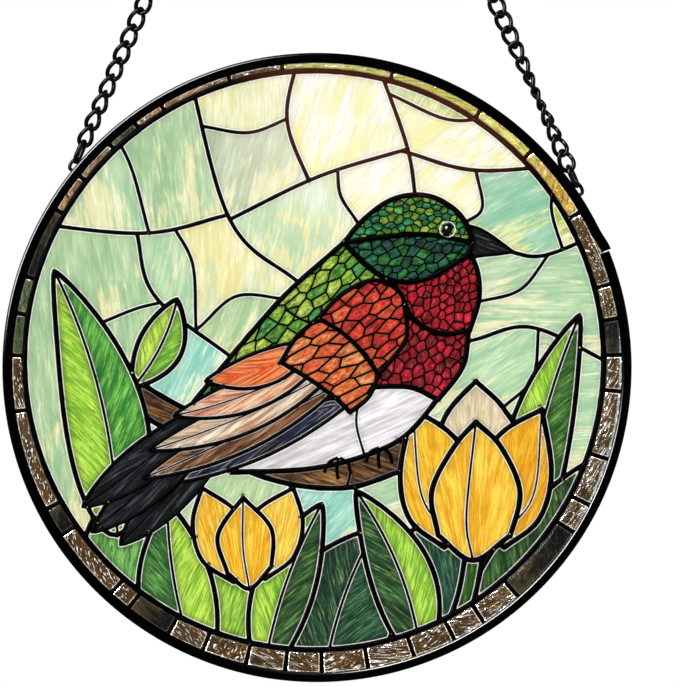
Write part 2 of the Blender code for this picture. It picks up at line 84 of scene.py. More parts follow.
# a curve through its points: on each span the Catmull-Rom cubic of its two ends and their two neighbours
def smoothCurve(points, spacing=lineStep):
    p = np.array(points, float)
    p = np.vstack([2 * p[0] - p[1], p, 2 * p[-1] - p[-2]])
    lengths = np.linalg.norm(p[2:-1] - p[1:-2], axis=1)
    steps = np.maximum(2, np.ceil(lengths / spacing)).astype(int)
    span = np.repeat(np.arange(len(steps)), steps)
    started = np.repeat(np.cumsum(steps) - steps, steps)
    t = ((np.arange(len(span)) - started) / np.repeat(steps, steps))[:, None]
    a, b, c, d = p[span], p[span + 1], p[span + 2], p[span + 3]
    made = 0.5 * (2 * b + (c - a) * t + (2 * a - 5 * b + 4 * c - d) * t**2 + (3 * b - a - 3 * c + d) * t**3)
    return np.vstack([made, p[-2:-1]])


# a closed outline of smooth strokes with a sharp corner where each starts
def closedOutline(*strokes):
    following = [*strokes[1:], strokes[0]]
    return np.vstack([smoothCurve([*s, f[0]])[:-1] for s, f in zip(strokes, following)])


# which points are inside a polygon: an odd number of its edges lies to their right
def insideOf(polygon, points):
    a, b = polygon, np.roll(polygon, -1, axis=0)
    result = np.zeros(len(points), bool)
    low, high = a.min(axis=0), a.max(axis=0)
    near = np.flatnonzero(((points > low) & (points < high)).all(axis=1))
    x, z = points[near, :1], points[near, 1:]
    straddles = (a[:, 1] > z) != (b[:, 1] > z)
    rise = np.where(b[:, 1] == a[:, 1], 1.0, b[:, 1] - a[:, 1])
    crossing = a[:, 0] + (z - a[:, 1]) * (b[:, 0] - a[:, 0]) / rise
    result[near] = (straddles & (crossing > x)).sum(axis=1) % 2 == 1
    return result


# distance from each point to the nearest of the segments, less how far that segment's own lead reaches
def distanceTo(starts, ends, points, reach):
    along = ends - starts
    size = np.maximum((along**2).sum(axis=1), 1e-12)
    result = np.empty(len(points))
    batch = 4000  # points at a time, to spare memory
    for first in range(0, len(points), batch):
        away = points[first:first + batch, None] - starts
        share = np.clip((away * along).sum(axis=2) / size, 0, 1)
        gap = away - share[:, :, None] * along
        result[first:first + batch] = (np.sqrt((gap**2).sum(axis=2)) - reach).min(axis=1)
    return result


# the sides that two triangles share: the two triangles' numbers, and the side's key, which is the lower
# number of its two points times the count of points, plus the higher one
def sharedSides(triangles, many):
    sides = np.sort(triangles[:, [[0, 1], [1, 2], [2, 0]]].reshape(-1, 2), axis=1) @ [many, 1]
    place = np.argsort(sides, kind="stable")
    twin = np.flatnonzero(sides[place][1:] == sides[place][:-1])
    return place[twin] // 3, place[twin + 1] // 3, sides[place[twin]]


# smooth noise from -1 to 1: random values on a lattice, blended between their four neighbours
def latticeNoise(x, z, cell, seed):
    values = np.random.default_rng(seed).uniform(-1, 1, (128, 128))
    gx, gz = x / cell + 500, z / cell + 500
    i, j = np.floor(gx).astype(int), np.floor(gz).astype(int)
    u, v = gx - i, gz - j
    u, v = u * u * (3 - 2 * u), v * v * (3 - 2 * v)
    i0, i1, j0, j1 = i % 128, (i + 1) % 128, j % 128, (j + 1) % 128
    low = values[i0, j0] * (1 - u) + values[i1, j0] * u
    high = values[i0, j1] * (1 - u) + values[i1, j1] * u
    return low * (1 - v) + high * v


# a mesh object in the object's own frame, from points in millimetres and arrays of faces; it's smooth, but
# for edges that turn by more than sharp degrees, and weld draws the points at a pole together
def makePiece(name, points, faces, material, nodes=(), slot=None, sharp=40, weld=False):
    mesh = bpy.data.meshes.new(name)
    listed = [face for block in faces for face in np.asarray(block).tolist()]
    mesh.from_pydata((np.asarray(points) * mm).tolist(), [], listed)
    if weld:
        solid = bmesh.new()
        solid.from_mesh(mesh)
        bmesh.ops.remove_doubles(solid, verts=solid.verts, dist=1e-7)
        solid.to_mesh(mesh)
        solid.free()
    mesh.update()
    mesh.shade_smooth()
    mesh.set_sharp_from_angle(angle=math.radians(sharp))
    mesh.materials.append(material)
    piece = bpy.data.objects.new(name, mesh)
    bpy.context.scene.collection.objects.link(piece)
    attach(piece, "root")
    if nodes:
        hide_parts(*nodes)
    return piece


# one value for every point of a piece, which its material reads by name: a number, a vector or a colour
def addAttribute(piece, name, kind, values):
    field = {"FLOAT": "value", "FLOAT_VECTOR": "vector", "FLOAT_COLOR": "color"}[kind]
    layer = piece.data.attributes.new(name, kind, "POINT")
    layer.data.foreach_set(field, np.ascontiguousarray(values, np.float32).ravel())


# several such values by name: a row of numbers, or rows of red, green and blue
def addValues(piece, values):
    for name, value in values.items():
        value = np.asarray(value)
        if value.ndim == 1:
            addAttribute(piece, name, "FLOAT", value)
        else:
            addAttribute(piece, name, "FLOAT_COLOR", np.hstack([value, np.ones((len(value), 1))]))


# quads of a grid of rows by columns; wrapped directions join up
def gridFaces(rows, columns, wrapRows=False, wrapColumns=False):
    i = np.arange(rows if wrapRows else rows - 1)[:, None]
    j = np.arange(columns if wrapColumns else columns - 1)[None]
    a, b = i * columns + j, i * columns + (j + 1) % columns
    c, d = (i + 1) % rows * columns + (j + 1) % columns, (i + 1) % rows * columns + j
    return np.stack([a, b, c, d], axis=2).reshape(-1, 4)


# turns a closed mesh the right way out, by the sign of its volume
def turnedOut(points, faces):
    faces = np.asarray(faces)
    a, b, c = (points[faces[:, k]] for k in (0, 1, 2))
    d = points[faces[:, -1]]
    volume = (np.cross(a, b) * c).sum() + (np.cross(a, c) * d).sum() * (faces.shape[1] == 4)
    return faces if volume > 0 else faces[:, ::-1]


# several meshes as one: all their points, and each one's faces moved on by the points before it
def joinBlocks(blocks):
    firsts = np.cumsum([0] + [len(points) for points, _ in blocks[:-1]])
    faces = [own + first for (_, own), first in zip(blocks, firsts)]
    return np.vstack([points for points, _ in blocks]), faces


class Signal:
    # a socket that can stand in a sum
    def __init__(self, tree, socket=None):
        self.tree, self.socket = tree, socket

    def make(self, kind, settings=None, sockets=None, output=0):
        # a node of any kind, its settings, the values or links of its sockets, and which output is wanted
        node = self.tree.nodes.new(kind)
        for name, value in (settings or {}).items():
            setattr(node, name, value)
        for name, value in (sockets or {}).items():
            if isinstance(value, Signal):
                self.tree.links.new(value.socket, node.inputs[name])
            else:
                node.inputs[name].default_value = value
        return Signal(self.tree, node.outputs[output])

    def math(self, operation, *values):
        return self.make("ShaderNodeMath", {"operation": operation}, dict(enumerate(values)))

    def __add__(self, other):
        return self.math("ADD", self, other)

    def __radd__(self, other):
        return self.math("ADD", other, self)

    def __sub__(self, other):
        return self.math("SUBTRACT", self, other)

    def __rsub__(self, other):
        return self.math("SUBTRACT", other, self)

    def __mul__(self, other):
        return self.math("MULTIPLY", self, other)

    def __rmul__(self, other):
        return self.math("MULTIPLY", other, self)

    def __truediv__(self, other):
        return self.math("DIVIDE", self, other)

    def __rtruediv__(self, other):
        return self.math("DIVIDE", other, self)

    def band(self, low, high):
        # 0 below low, 1 above high, smooth between; turned round if low is the larger
        smooth = {"interpolation_type": "SMOOTHSTEP"}
        return self.make("ShaderNodeMapRange", smooth, {0: self, 1: low, 2: high})

    def noise(self, place, scale, detail=4, roughness=0.55, distortion=0.0):
        sockets = {"Vector": place, "Scale": scale, "Detail": detail, "Roughness": roughness}
        return self.make("ShaderNodeTexNoise", None, {**sockets, "Distortion": distortion})

    def blend(self, share, first, second, how="MIX"):
        # first where the share is 0, second where it is 1
        settings = {"data_type": "RGBA", "blend_type": how}
        return self.make("ShaderNodeMix", settings, {0: share, 6: first, 7: second}, 2)

    def bump(self, strength, distance, height):
        sockets = {"Strength": strength, "Distance": distance, "Height": height}
        return self.make("ShaderNodeBump", None, sockets)

    def vector(self, x, y, z):
        return self.make("ShaderNodeCombineXYZ", None, {0: x, 1: y, 2: z})

    def attribute(self, name, output=0):
        # output 0 is a colour, 1 a vector and 2 a number
        return self.make("ShaderNodeAttribute", {"attribute_name": name}, None, output)

    def objectPlace(self):
        return self.make("ShaderNodeTexCoord", None, None, 3)

    def parts(self, vector):
        split = self.make("ShaderNodeSeparateXYZ", None, {0: vector})
        return [Signal(self.tree, split.socket.node.outputs[i]) for i in range(3)]


# a material with its Principled shader: constants go straight on the sockets, signals are linked
def newMaterial(name, build):
    material = bpy.data.materials.new(name)
    material.use_nodes = True
    shader = material.node_tree.nodes["Principled BSDF"]
    for socket, value in build(Signal(material.node_tree)).items():
        if isinstance(value, Signal):
            material.node_tree.links.new(value.socket, shader.inputs[socket])
        else:
            shader.inputs[socket].default_value = value
    return material


# hex to the four numbers of a colour socket
def rgba(code):
    return (*tint(code), 1)


# what a streaky glass has where its own look, below, doesn't say otherwise; lengths are in millimetres
plainGlass = {
    "width": 1.0, "length": 12,  # of a streak, across the grain and along it
    "contrast": 1.0, "fine": 0.36,  # how far the tints part, and how much of that is fine grain
    "dashes": 0.4,  # thin dark and light strokes
    "wisp": 0.3, "wispTint": "#ffffff",  # wisps of a lighter tint
    "wash": 0.0,  # a second colour with a feathery edge
    "crackle": 0.0,  # fine dark and light veins
    "smoke": 0.2, "smokeWidth": 1.4,  # how dark the pane turns towards its lead, and how far in
    "line": 1.0, "lineWidth": 0.25,  # the painted highlight beside the lead
    "bump": 0.3, "rough": 0.14, "clear": 0.92,  # relief, roughness, and the light let through
}
streaky = {
    "sky": {"width": 2.2, "length": 16, "fine": 0.3, "dashes": 0.22, "wisp": 0.5, "wispTint": "#fffff2",
            "lineWidth": 0.28, "wash": 0.8, "smoke": 0.10, "smokeWidth": 1.8, "bump": 0.22, "clear": 0.93},
    "leaf": {"width": 1.2, "contrast": 1.05, "fine": 0.5, "dashes": 0.75, "wisp": 0.4, "wispTint": "#e8f690",
             "smoke": 0.45, "smokeWidth": 2.2},
    "petal": {"width": 1.2, "length": 13, "wispTint": "#fff3a8", "smokeWidth": 1.5, "bump": 0.28},
    "feather": {"length": 20, "contrast": 1.5, "fine": 0.5, "dashes": 0.7, "wisp": 0.5, "wispTint": "#fff4e4",
                "line": 0.6, "lineWidth": 0.19, "smoke": 0.26, "clear": 0.9},
    "scale": {"width": 0.9, "length": 3.2, "contrast": 1.5, "fine": 0.35, "dashes": 0.35, "wisp": 0.04,
              "line": 0.0, "crackle": 0.5, "smoke": 0.3, "smokeWidth": 0.7, "rough": 0.12},
    "dark": {"width": 0.8, "length": 18, "contrast": 1.4, "fine": 0.4, "dashes": 0.6, "wisp": 0.34,
             "wispTint": "#b9bec8", "line": 0.0, "smoke": 0.5, "bump": 0.25, "clear": 0.85},
    "white": {"width": 1.5, "length": 22, "contrast": 1.1, "fine": 0.34, "dashes": 0.25, "line": 0.8,
              "lineWidth": 0.26, "smoke": 0.12, "smokeWidth": 1.8, "bump": 0.25},
    "bark": {"width": 0.9, "length": 11, "contrast": 1.6, "fine": 0.55, "dashes": 0.9, "wispTint": "#e0c193",
             "line": 0.25, "lineWidth": 0.2, "smoke": 0.4, "bump": 0.4, "rough": 0.18, "clear": 0.85},
}


# a second colour washed over the first from below, with a feathery edge: where broad clouds, flames and
# fine grain add up to more than a limit, which is lower near the foot of the pane
def washedOver(s, look, colour, mixed, streak, fine, along, across, seed):
    cloud = s.noise(s.vector(along * 0.6, across * 0.13, seed + 15.3), 1.0, 3, 0.5, 0.5)
    flame = s.noise(s.vector(along * 0.8, across * 0.45, seed + 18.9), 1.0, 3, 0.55, 0.8)
    reach = cloud * 0.7 + (flame - 0.5) * 0.7 + (streak - 0.5) * 0.5 + (fine - 0.5) * 0.16
    reach = reach + s.attribute("low", 2) * 0.17
    second = s.blend(mixed.band(0.2, 0.9) * 0.5, s.attribute("washTint"), rgba("#fffce6"))
    return s.blend(reach.band(0.38, 0.50) * look["wash"], colour, second)


# thin strokes along the grain: dark ones in groups, and light ones between them
def stroked(s, look, colour, broad, streak, thin):
    grouped = (broad * 0.6 + streak * 0.4).band(0.38, 0.52)
    dark = thin.band(0.565, 0.62) * look["dashes"] * grouped
    light = thin.band(0.42, 0.36) * look["dashes"] * 0.6
    colour = s.blend(dark, colour, s.blend(0.38, s.attribute("deepTint"), rgba("#000000")))
    return s.blend(light, colour, s.blend(0.35, s.attribute("paleTint"), rgba(look["wispTint"])))


# fine veins: where a noise crosses one value they are dark, and where it crosses another they are light
def crackled(s, look, colour, veins):
    dark = s.math("ABSOLUTE", veins - 0.46).band(0.05, 0.01) * look["crackle"]
    light = s.math("ABSOLUTE", veins - 0.56).band(0.03, 0.0) * look["crackle"] * 0.3
    colour = s.blend(dark, colour, s.blend(0.75, s.attribute("deepTint"), rgba("#000000")))
    return s.blend(light, colour, s.blend(0.5, s.attribute("paleTint"), rgba("#ffffff")))


# stained glass: deep and pale tints of the pane, mixed by noise that is drawn out along the grain; then the
# wash, thin strokes, lighter wisps, fine veins, darkening towards the lead, and a painted highlight beside it
def stainedGlass(name, own):
    look = {**plainGlass, **own}

    def build(s):
        u, v, seed = s.parts(s.attribute("grain", 1))
        along, across = u / look["length"], v / look["width"]
        broad = s.noise(s.vector(along, across * 0.3, seed), 1.0, 5, 0.6, 0.6)
        streak = s.noise(s.vector(along, across, seed + 4.7), 1.0, 6, 0.62, 0.5)
        fine = s.noise(s.vector(along * 2.4, across * 3.6, seed + 9.1), 1.0, 4, 0.6, 0.3)
        mixed = ((broad - 0.5) * 1.6 + (streak - 0.5) * 1.9) * look["contrast"]
        mixed = mixed + (fine - 0.5) * look["fine"] * 2 + 0.5
        colour = s.blend(mixed.band(0.02, 0.98), s.attribute("deepTint"), s.attribute("paleTint"))
        if look["wash"]:
            colour = washedOver(s, look, colour, mixed, streak, fine, along, across, seed)
        thin = s.noise(s.vector(along * 1.6, v / 0.55, seed + 26.2), 1.0, 2, 0.5, 0.6)
        colour = stroked(s, look, colour, broad, streak, thin)
        wisps = (streak * 0.65 + fine * 0.55).band(0.66, 0.80) * look["wisp"]
        colour = s.blend(wisps, colour, rgba(look["wispTint"]))
        if look["crackle"]:
            veins = s.noise(s.vector(u / 1.3, v / 0.9, seed + 21), 1.0, 3, 0.6, 1.2)
            colour = crackled(s, look, colour, veins)
        edge, line = s.attribute("edge", 2), 0.0
        # darker towards the lead, by the distance to it
        smoke = 1 - edge.band(look["smokeWidth"], 0.1) * look["smoke"]
        colour = s.blend(1.0, colour, s.vector(smoke, smoke, smoke), "MULTIPLY")
        # painted highlight: a bright line beside the lead, where the glass's cut edge catches light; it is
        # also made metallic
        if look["line"]:
            width = look["lineWidth"]
            line = edge.band(-0.08, 0.04) * edge.band(width + 0.1, width - 0.1)
            line = line * broad.band(0.22, 0.46) * look["line"]
            colour = s.blend(line, colour, s.blend(0.88, s.attribute("paleTint"), rgba("#ffffff")))
        return {"Base Color": colour, "Metallic": line * 0.8, "Roughness": fine * 0.12 + look["rough"] * 0.8,
                "Normal": s.bump(look["bump"], 0.0006, streak * 0.6 + fine * 0.25),
                "Transmission Weight": look["clear"], "IOR": 1.2, "Specular IOR Level": 0.16}
    return newMaterial(name, build)


glass = {kind: stainedGlass(kind + "StreakyGlass", own) for kind, own in streaky.items()}

hammered = {
    "clear": 0.8, "rough": 0.12,  # the light let through, and roughness
    "long": 3.6, "wide": 1.15,  # ripples, in millimetres
    "strokeLong": 4.2, "strokeWide": 0.35, "dot": 0.56,  # glints and gouges, and dots of glint
}


# hammered border glass: smooth cloudy tints with a few dark gouges, painted white glints that are parallel
# strokes on some tiles and scattered dots on others, a painted highlight along its edge, and pale cement
# beside the lip
def hammeredGlass(s):
    u, v, seed = s.parts(s.attribute("grain", 1))
    edge, sparkle, dotted, lit = (s.attribute(name, 2) for name in ("edge", "sparkle", "dotted", "lit"))
    strokeU, strokeV = u / hammered["strokeLong"], v / hammered["strokeWide"]
    ripple = s.noise(s.vector(u / hammered["long"], v / hammered["wide"], seed), 1.0, 3, 0.55, 0.9)
    broad = s.noise(s.vector(u / 7.0, v / 2.6, seed + 3), 1.0, 4, 0.6, 0.6)
    speck = s.noise(s.vector(u / 0.9, v / 0.6, seed + 7), 1.0, 3, 0.6)
    share = (broad - 0.5) * 1.7 + (ripple - 0.5) * 0.8 + (speck - 0.5) * 0.12 + lit + sparkle * 0.2 + 0.26
    colour = s.blend(share.band(0.0, 1.0), s.attribute("deepTint"), s.attribute("paleTint"))
    group = s.noise(s.vector(u / 6.0, v / 2.2, seed + 11), 1.0, 1).band(0.42, 0.50)
    stroke = s.noise(s.vector(strokeU, strokeV, seed + 17), 1.0, 1, 0.5, 0.7)
    dot = s.noise(s.vector(u / hammered["dot"], v / hammered["dot"], seed + 29), 1.0, 0)
    # painted highlights: white glints as strokes and dots, also made metallic
    strokes = stroke.band(0.605, 0.63) * group * (1 - dotted)
    dots = dot.band(0.70, 0.725) * (dotted * 0.6 + 0.4)
    glints = s.math("MAXIMUM", strokes, dots) * sparkle
    gouge = s.noise(s.vector(strokeU, strokeV, seed + 37), 1.0, 1, 0.5, 0.7)
    gouge = gouge.band(0.56, 0.62) * 0.8 * (1 - dotted * 0.55)
    colour = s.blend(gouge, colour, s.blend(0.85, s.attribute("deepTint"), rgba("#000000")))
    colour = s.blend(glints, colour, rgba("#fffdf4"))
    # painted highlight: a bright line along the tile's edge
    line = edge.band(0.0, 0.08) * edge.band(0.36, 0.24) * speck.band(0.3, 0.55) * (sparkle * 0.75 + 0.1)
    colour = s.blend(line, colour, rgba("#f7eddc"))
    cement = (s.attribute("cement", 2) + (speck - 0.5) * 1.2).band(0.06, -0.06)
    colour = s.blend(cement, colour, rgba("#bcc6c6"))
    return {"Base Color": colour, "Metallic": s.math("MAXIMUM", glints, line) * 0.9,
            "Roughness": speck * 0.2 + hammered["rough"], "Normal": s.bump(0.5, 0.0005, ripple),
            "Transmission Weight": hammered["clear"], "IOR": 1.2, "Specular IOR Level": 0.16}


borderGlass = newMaterial("hammeredBorderGlass", hammeredGlass)


# painted glare: where the lead is painted brown as if the glow near the top spilt over it, in millimetres
# from the picture's centre: above a height, and up to a distance aside of a middle; each pair is where it is
# black and where it is wholly brown
paintedGlareOnLead = {"above": (48.0, 68.0), "middle": 24.0, "aside": (52.0, 34.0), "tint": "#4c2414"}


# lead with black patina: nearly black, painted brown round one place as glare from the glow, and with
# brighter specks where it's rubbed
def patinaLead(s):
    place = s.objectPlace()
    x, _, z = s.parts(place)
    above, aside = z / mm - pictureZ, s.math("ABSOLUTE", x / mm - pictureX - paintedGlareOnLead["middle"])
    # painted glare: the brown near the top of the picture
    brown = above.band(*paintedGlareOnLead["above"]) * aside.band(*paintedGlareOnLead["aside"])
    cloud = s.noise(place, 120.0, 4, 0.6)
    speck = s.noise(place, 900.0, 3, 0.6)
    rubbed = (cloud * 0.5 + speck * 0.6).band(0.68, 0.80)
    colour = s.blend(cloud.band(0.35, 0.7), rgba("#000000"), rgba("#060403"))
    colour = s.blend(brown * (cloud * 0.6 + 0.4), colour, rgba(paintedGlareOnLead["tint"]))
    colour = s.blend(rubbed * 0.25, colour, rgba("#57524c"))
    return {"Base Color": colour, "Metallic": rubbed * 0.5, "Roughness": 0.2 + cloud * 0.24,
            "Normal": s.bump(0.35, 0.0003, cloud * 0.4 + speck * 0.6), "Specular IOR Level": 0.006}


leadMetal = newMaterial("patinaLead", patinaLead)


# solder at the joints: as dark as the lead, with small white specks that are painted glints
def darkSolder(s):
    place = s.objectPlace()
    # painted highlight: white glint specks
    paintedGlintSpecks = s.noise(place, 1300.0, 1, 0.4).band(0.64, 0.69)
    cloud = s.noise(place, 200.0, 3, 0.6)
    colour = s.blend(cloud.band(0.35, 0.7), rgba("#000000"), rgba("#070504"))
    colour = s.blend(paintedGlintSpecks * 0.9, colour, rgba("#e4e4e2"))
    return {"Base Color": colour, "Roughness": 0.2 + cloud * 0.25, "Specular IOR Level": 0.016}


solderMetal = newMaterial("darkSolder", darkSolder)


# black enamel: a faint orange peel, and a clear coat as much as the shine attribute says: even on the chain's
# wire, and a painted sheen on two arcs of the ring, where the lights' highlights fall
def blackEnamel(s):
    place = s.objectPlace()
    peel = s.noise(place, 700.0, 3, 0.5)
    cloud = s.noise(place, 60.0, 4, 0.6)
    colour = s.blend(cloud.band(0.4, 0.75), rgba("#000000"), rgba("#030303"))
    return {"Base Color": colour, "Roughness": 0.12 + cloud * 0.12, "Normal": s.bump(0.12, 0.0002, peel),
            "Specular IOR Level": 0.008, "Coat Weight": s.attribute("shine", 2), "Coat Roughness": 0.07,
            "Coat IOR": 1.5}


enamel = newMaterial("blackEnamel", blackEnamel)
print("materials made")


# a leaf or feather: a midrib that bends as a parabola, and a half width that swells as a power of a sine,
# which reaches its top at the fullest place
def bladeShape(base, tip, width, bend, fullest):
    base, tip = np.array(base, float), np.array(tip, float)
    along = tip - base
    across = np.array([-along[1], along[0]]) / np.linalg.norm(along)
    t = np.linspace(0, 1, max(16, int(np.linalg.norm(along) / lineStep)))[:, None]
    rib = base + along * t + across * bend * 4 * t * (1 - t)
    half = width / 2 * np.sin(math.pi * t ** (math.log(0.5) / math.log(fullest))) ** 0.8
    return {"outline": np.vstack([(rib - across * half)[:-1], (rib + across * half)[::-1][:-1]]), "rib": rib}


# a shape drawn by its strokes
def strokeShape(*strokes):
    return {"outline": closedOutline(*strokes)}


# the picture's shapes from front to back, in millimetres across and up from its centre: a bird that sits on
# a branch, with flowers and leaves below it
drawing = {
    "wing_shoulder": strokeShape([(30, 13), (28, 21), (20, 25), (10, 21), (2, 13)],
                                 [(2, 13), (10, 8), (17, 1), (21, -5)],
                                 [(21, -5), (27, 2), (30, 7)]),
    "wing_covert": strokeShape([(2, 13), (-5, 7), (-10, -1)], [(-10, -1), (0, -7), (8, -13), (12, -17)],
                               [(12, -17), (18, -12), (21, -5)], [(21, -5), (17, 1), (10, 8)]),
    "wing_feather_1": bladeShape((2, 6), (-34, -7), 11, 2.5, 0.5),
    "wing_feather_2": bladeShape((5, 2), (-44, -18), 11, 2.5, 0.5),
    "wing_feather_3": bladeShape((8, -3), (-52, -29), 11, 2, 0.5),
    "wing_feather_4": bladeShape((10, -7), (-54, -38), 11, 1, 0.5),
    "wing_feather_5": bladeShape((14, -12), (-42, -39), 11, -1, 0.5),
    "crown": strokeShape([(51, 37), (49, 43), (44, 48.5), (36, 52), (26, 51), (17, 45), (10, 37)],
                         [(10, 37), (24, 39), (37, 39.5)]),
    "cheek": strokeShape([(51, 37), (36, 42), (20, 41), (10, 37)],
                         [(10, 37), (17, 30), (25, 25), (35, 25), (43, 29), (49, 33)]),
    "throat": strokeShape([(49, 36), (52.5, 28), (53, 19), (50, 9)],
                          [(50, 9), (41, 8), (33, 12), (29, 18), (24, 28)],
                          [(24, 28), (36, 33)]),
    "beak": strokeShape([(46, 43), (54, 41), (64, 34)], [(64, 34), (56, 33), (46, 33)]),
    "breast": strokeShape([(50, 12), (48, -2), (40, -13)], [(40, -13), (31, -9), (18, -9)],
                          [(18, -9), (20, 4), (24, 28)],
                          [(24, 28), (34, 20)]),
    "belly": strokeShape([(42, -10), (30, -24), (16, -31), (-2, -35), (-26, -36)],
                         [(-26, -36), (-30, -26), (-20, -16)],
                         [(-20, -16), (10, -4), (30, -4)]),
    "back": strokeShape([(10, 37), (-7, 22), (-18, 10), (-29, -3), (-38, -14)],
                        [(-38, -14), (-28, -22), (-10, -14)],
                        [(-10, -14), (10, 6), (28, 14), (30, 26)], [(30, 26), (22, 36)]),
    "tail_upper": bladeShape((-24, -8), (-73, -47), 12, 1, 0.6),
    "tail_middle": bladeShape((-22, -14), (-70, -55), 12, 0, 0.6),
    "tail_lower": bladeShape((-20, -20), (-61, -59), 12, -1, 0.6),
    "tulip_front": strokeShape([(40, -56), (38, -42), (45, -28), (52, -20)],
                               [(52, -20), (60, -28), (66, -42), (63, -56)],
                               [(63, -56), (51, -64)]),
    "tulip_left": strokeShape([(42, -60), (31, -51), (28, -36), (32, -16)],
                              [(32, -16), (42, -22), (50, -30)],
                              [(50, -30), (48, -52)]),
    "tulip_right": strokeShape([(61, -60), (72, -51), (76, -36), (73, -16)],
                               [(73, -16), (62, -22), (54, -30)],
                               [(54, -30), (54, -52)]),
    "tulip_back": strokeShape([(38, -30), (43, -17), (52, -7)], [(52, -7), (61, -16), (67, -30)]),
    "small_tulip_front": strokeShape([(-27, -68), (-30, -56), (-22, -44)],
                                     [(-22, -44), (-13, -54), (-13, -66)],
                                     [(-13, -66), (-20, -73)]),
    "small_tulip_left": strokeShape([(-25, -71), (-35, -64), (-38, -52), (-35, -41)],
                                    [(-35, -41), (-27, -46), (-20, -52)],
                                    [(-20, -52), (-20, -66)]),
    "small_tulip_right": strokeShape([(-15, -70), (-6, -63), (-3, -52), (-6, -41)],
                                     [(-6, -41), (-15, -46), (-22, -52)],
                                     [(-22, -52), (-20, -66)]),
    "tulip_stem": strokeShape([(49, -60), (46, -76), (38, -98)], [(43, -98), (51, -78), (54, -60)]),
    "leaf_1": bladeShape((44, -112), (90, -32), 36, -4, 0.5),
    "leaf_2": bladeShape((35, -98), (14, -42), 20, -4, 0.45),
    "leaf_3": bladeShape((-16, -104), (3, -46), 19, 3, 0.5),
    "leaf_4": bladeShape((-34, -104), (-46, -46), 24, 3, 0.5),
    "leaf_5": bladeShape((-62, -56), (-82, 28), 26, -5, 0.38),
    "leaf_6": bladeShape((-57, -9), (-43, 19), 14, -2, 0.5),
    "leaf_7": bladeShape((66, -70), (85, 14), 20, 4, 0.45),
    "branch": strokeShape([(-76, 7), (-60, -4), (-40, -16), (-10, -28), (8, -31), (30, -25), (50, -18),
                           (56, -18)],
                          [(56, -18), (56, -26)],
                          [(56, -26), (30, -35), (10, -41), (-14, -38), (-40, -26), (-60, -14), (-76, -4)]),
    "leaf_8": bladeShape((3, -108), (20, -54), 36, 3, 0.5),
    "leaf_9": bladeShape((-22, -112), (-24, -58), 40, 0, 0.5),
    "leaf_10": bladeShape((38, -114), (46, -46), 50, 0, 0.5),
    "leaf_11": bladeShape((-42, -110), (-69, -50), 40, -2, 0.5),
}
shapeNames = list(drawing)

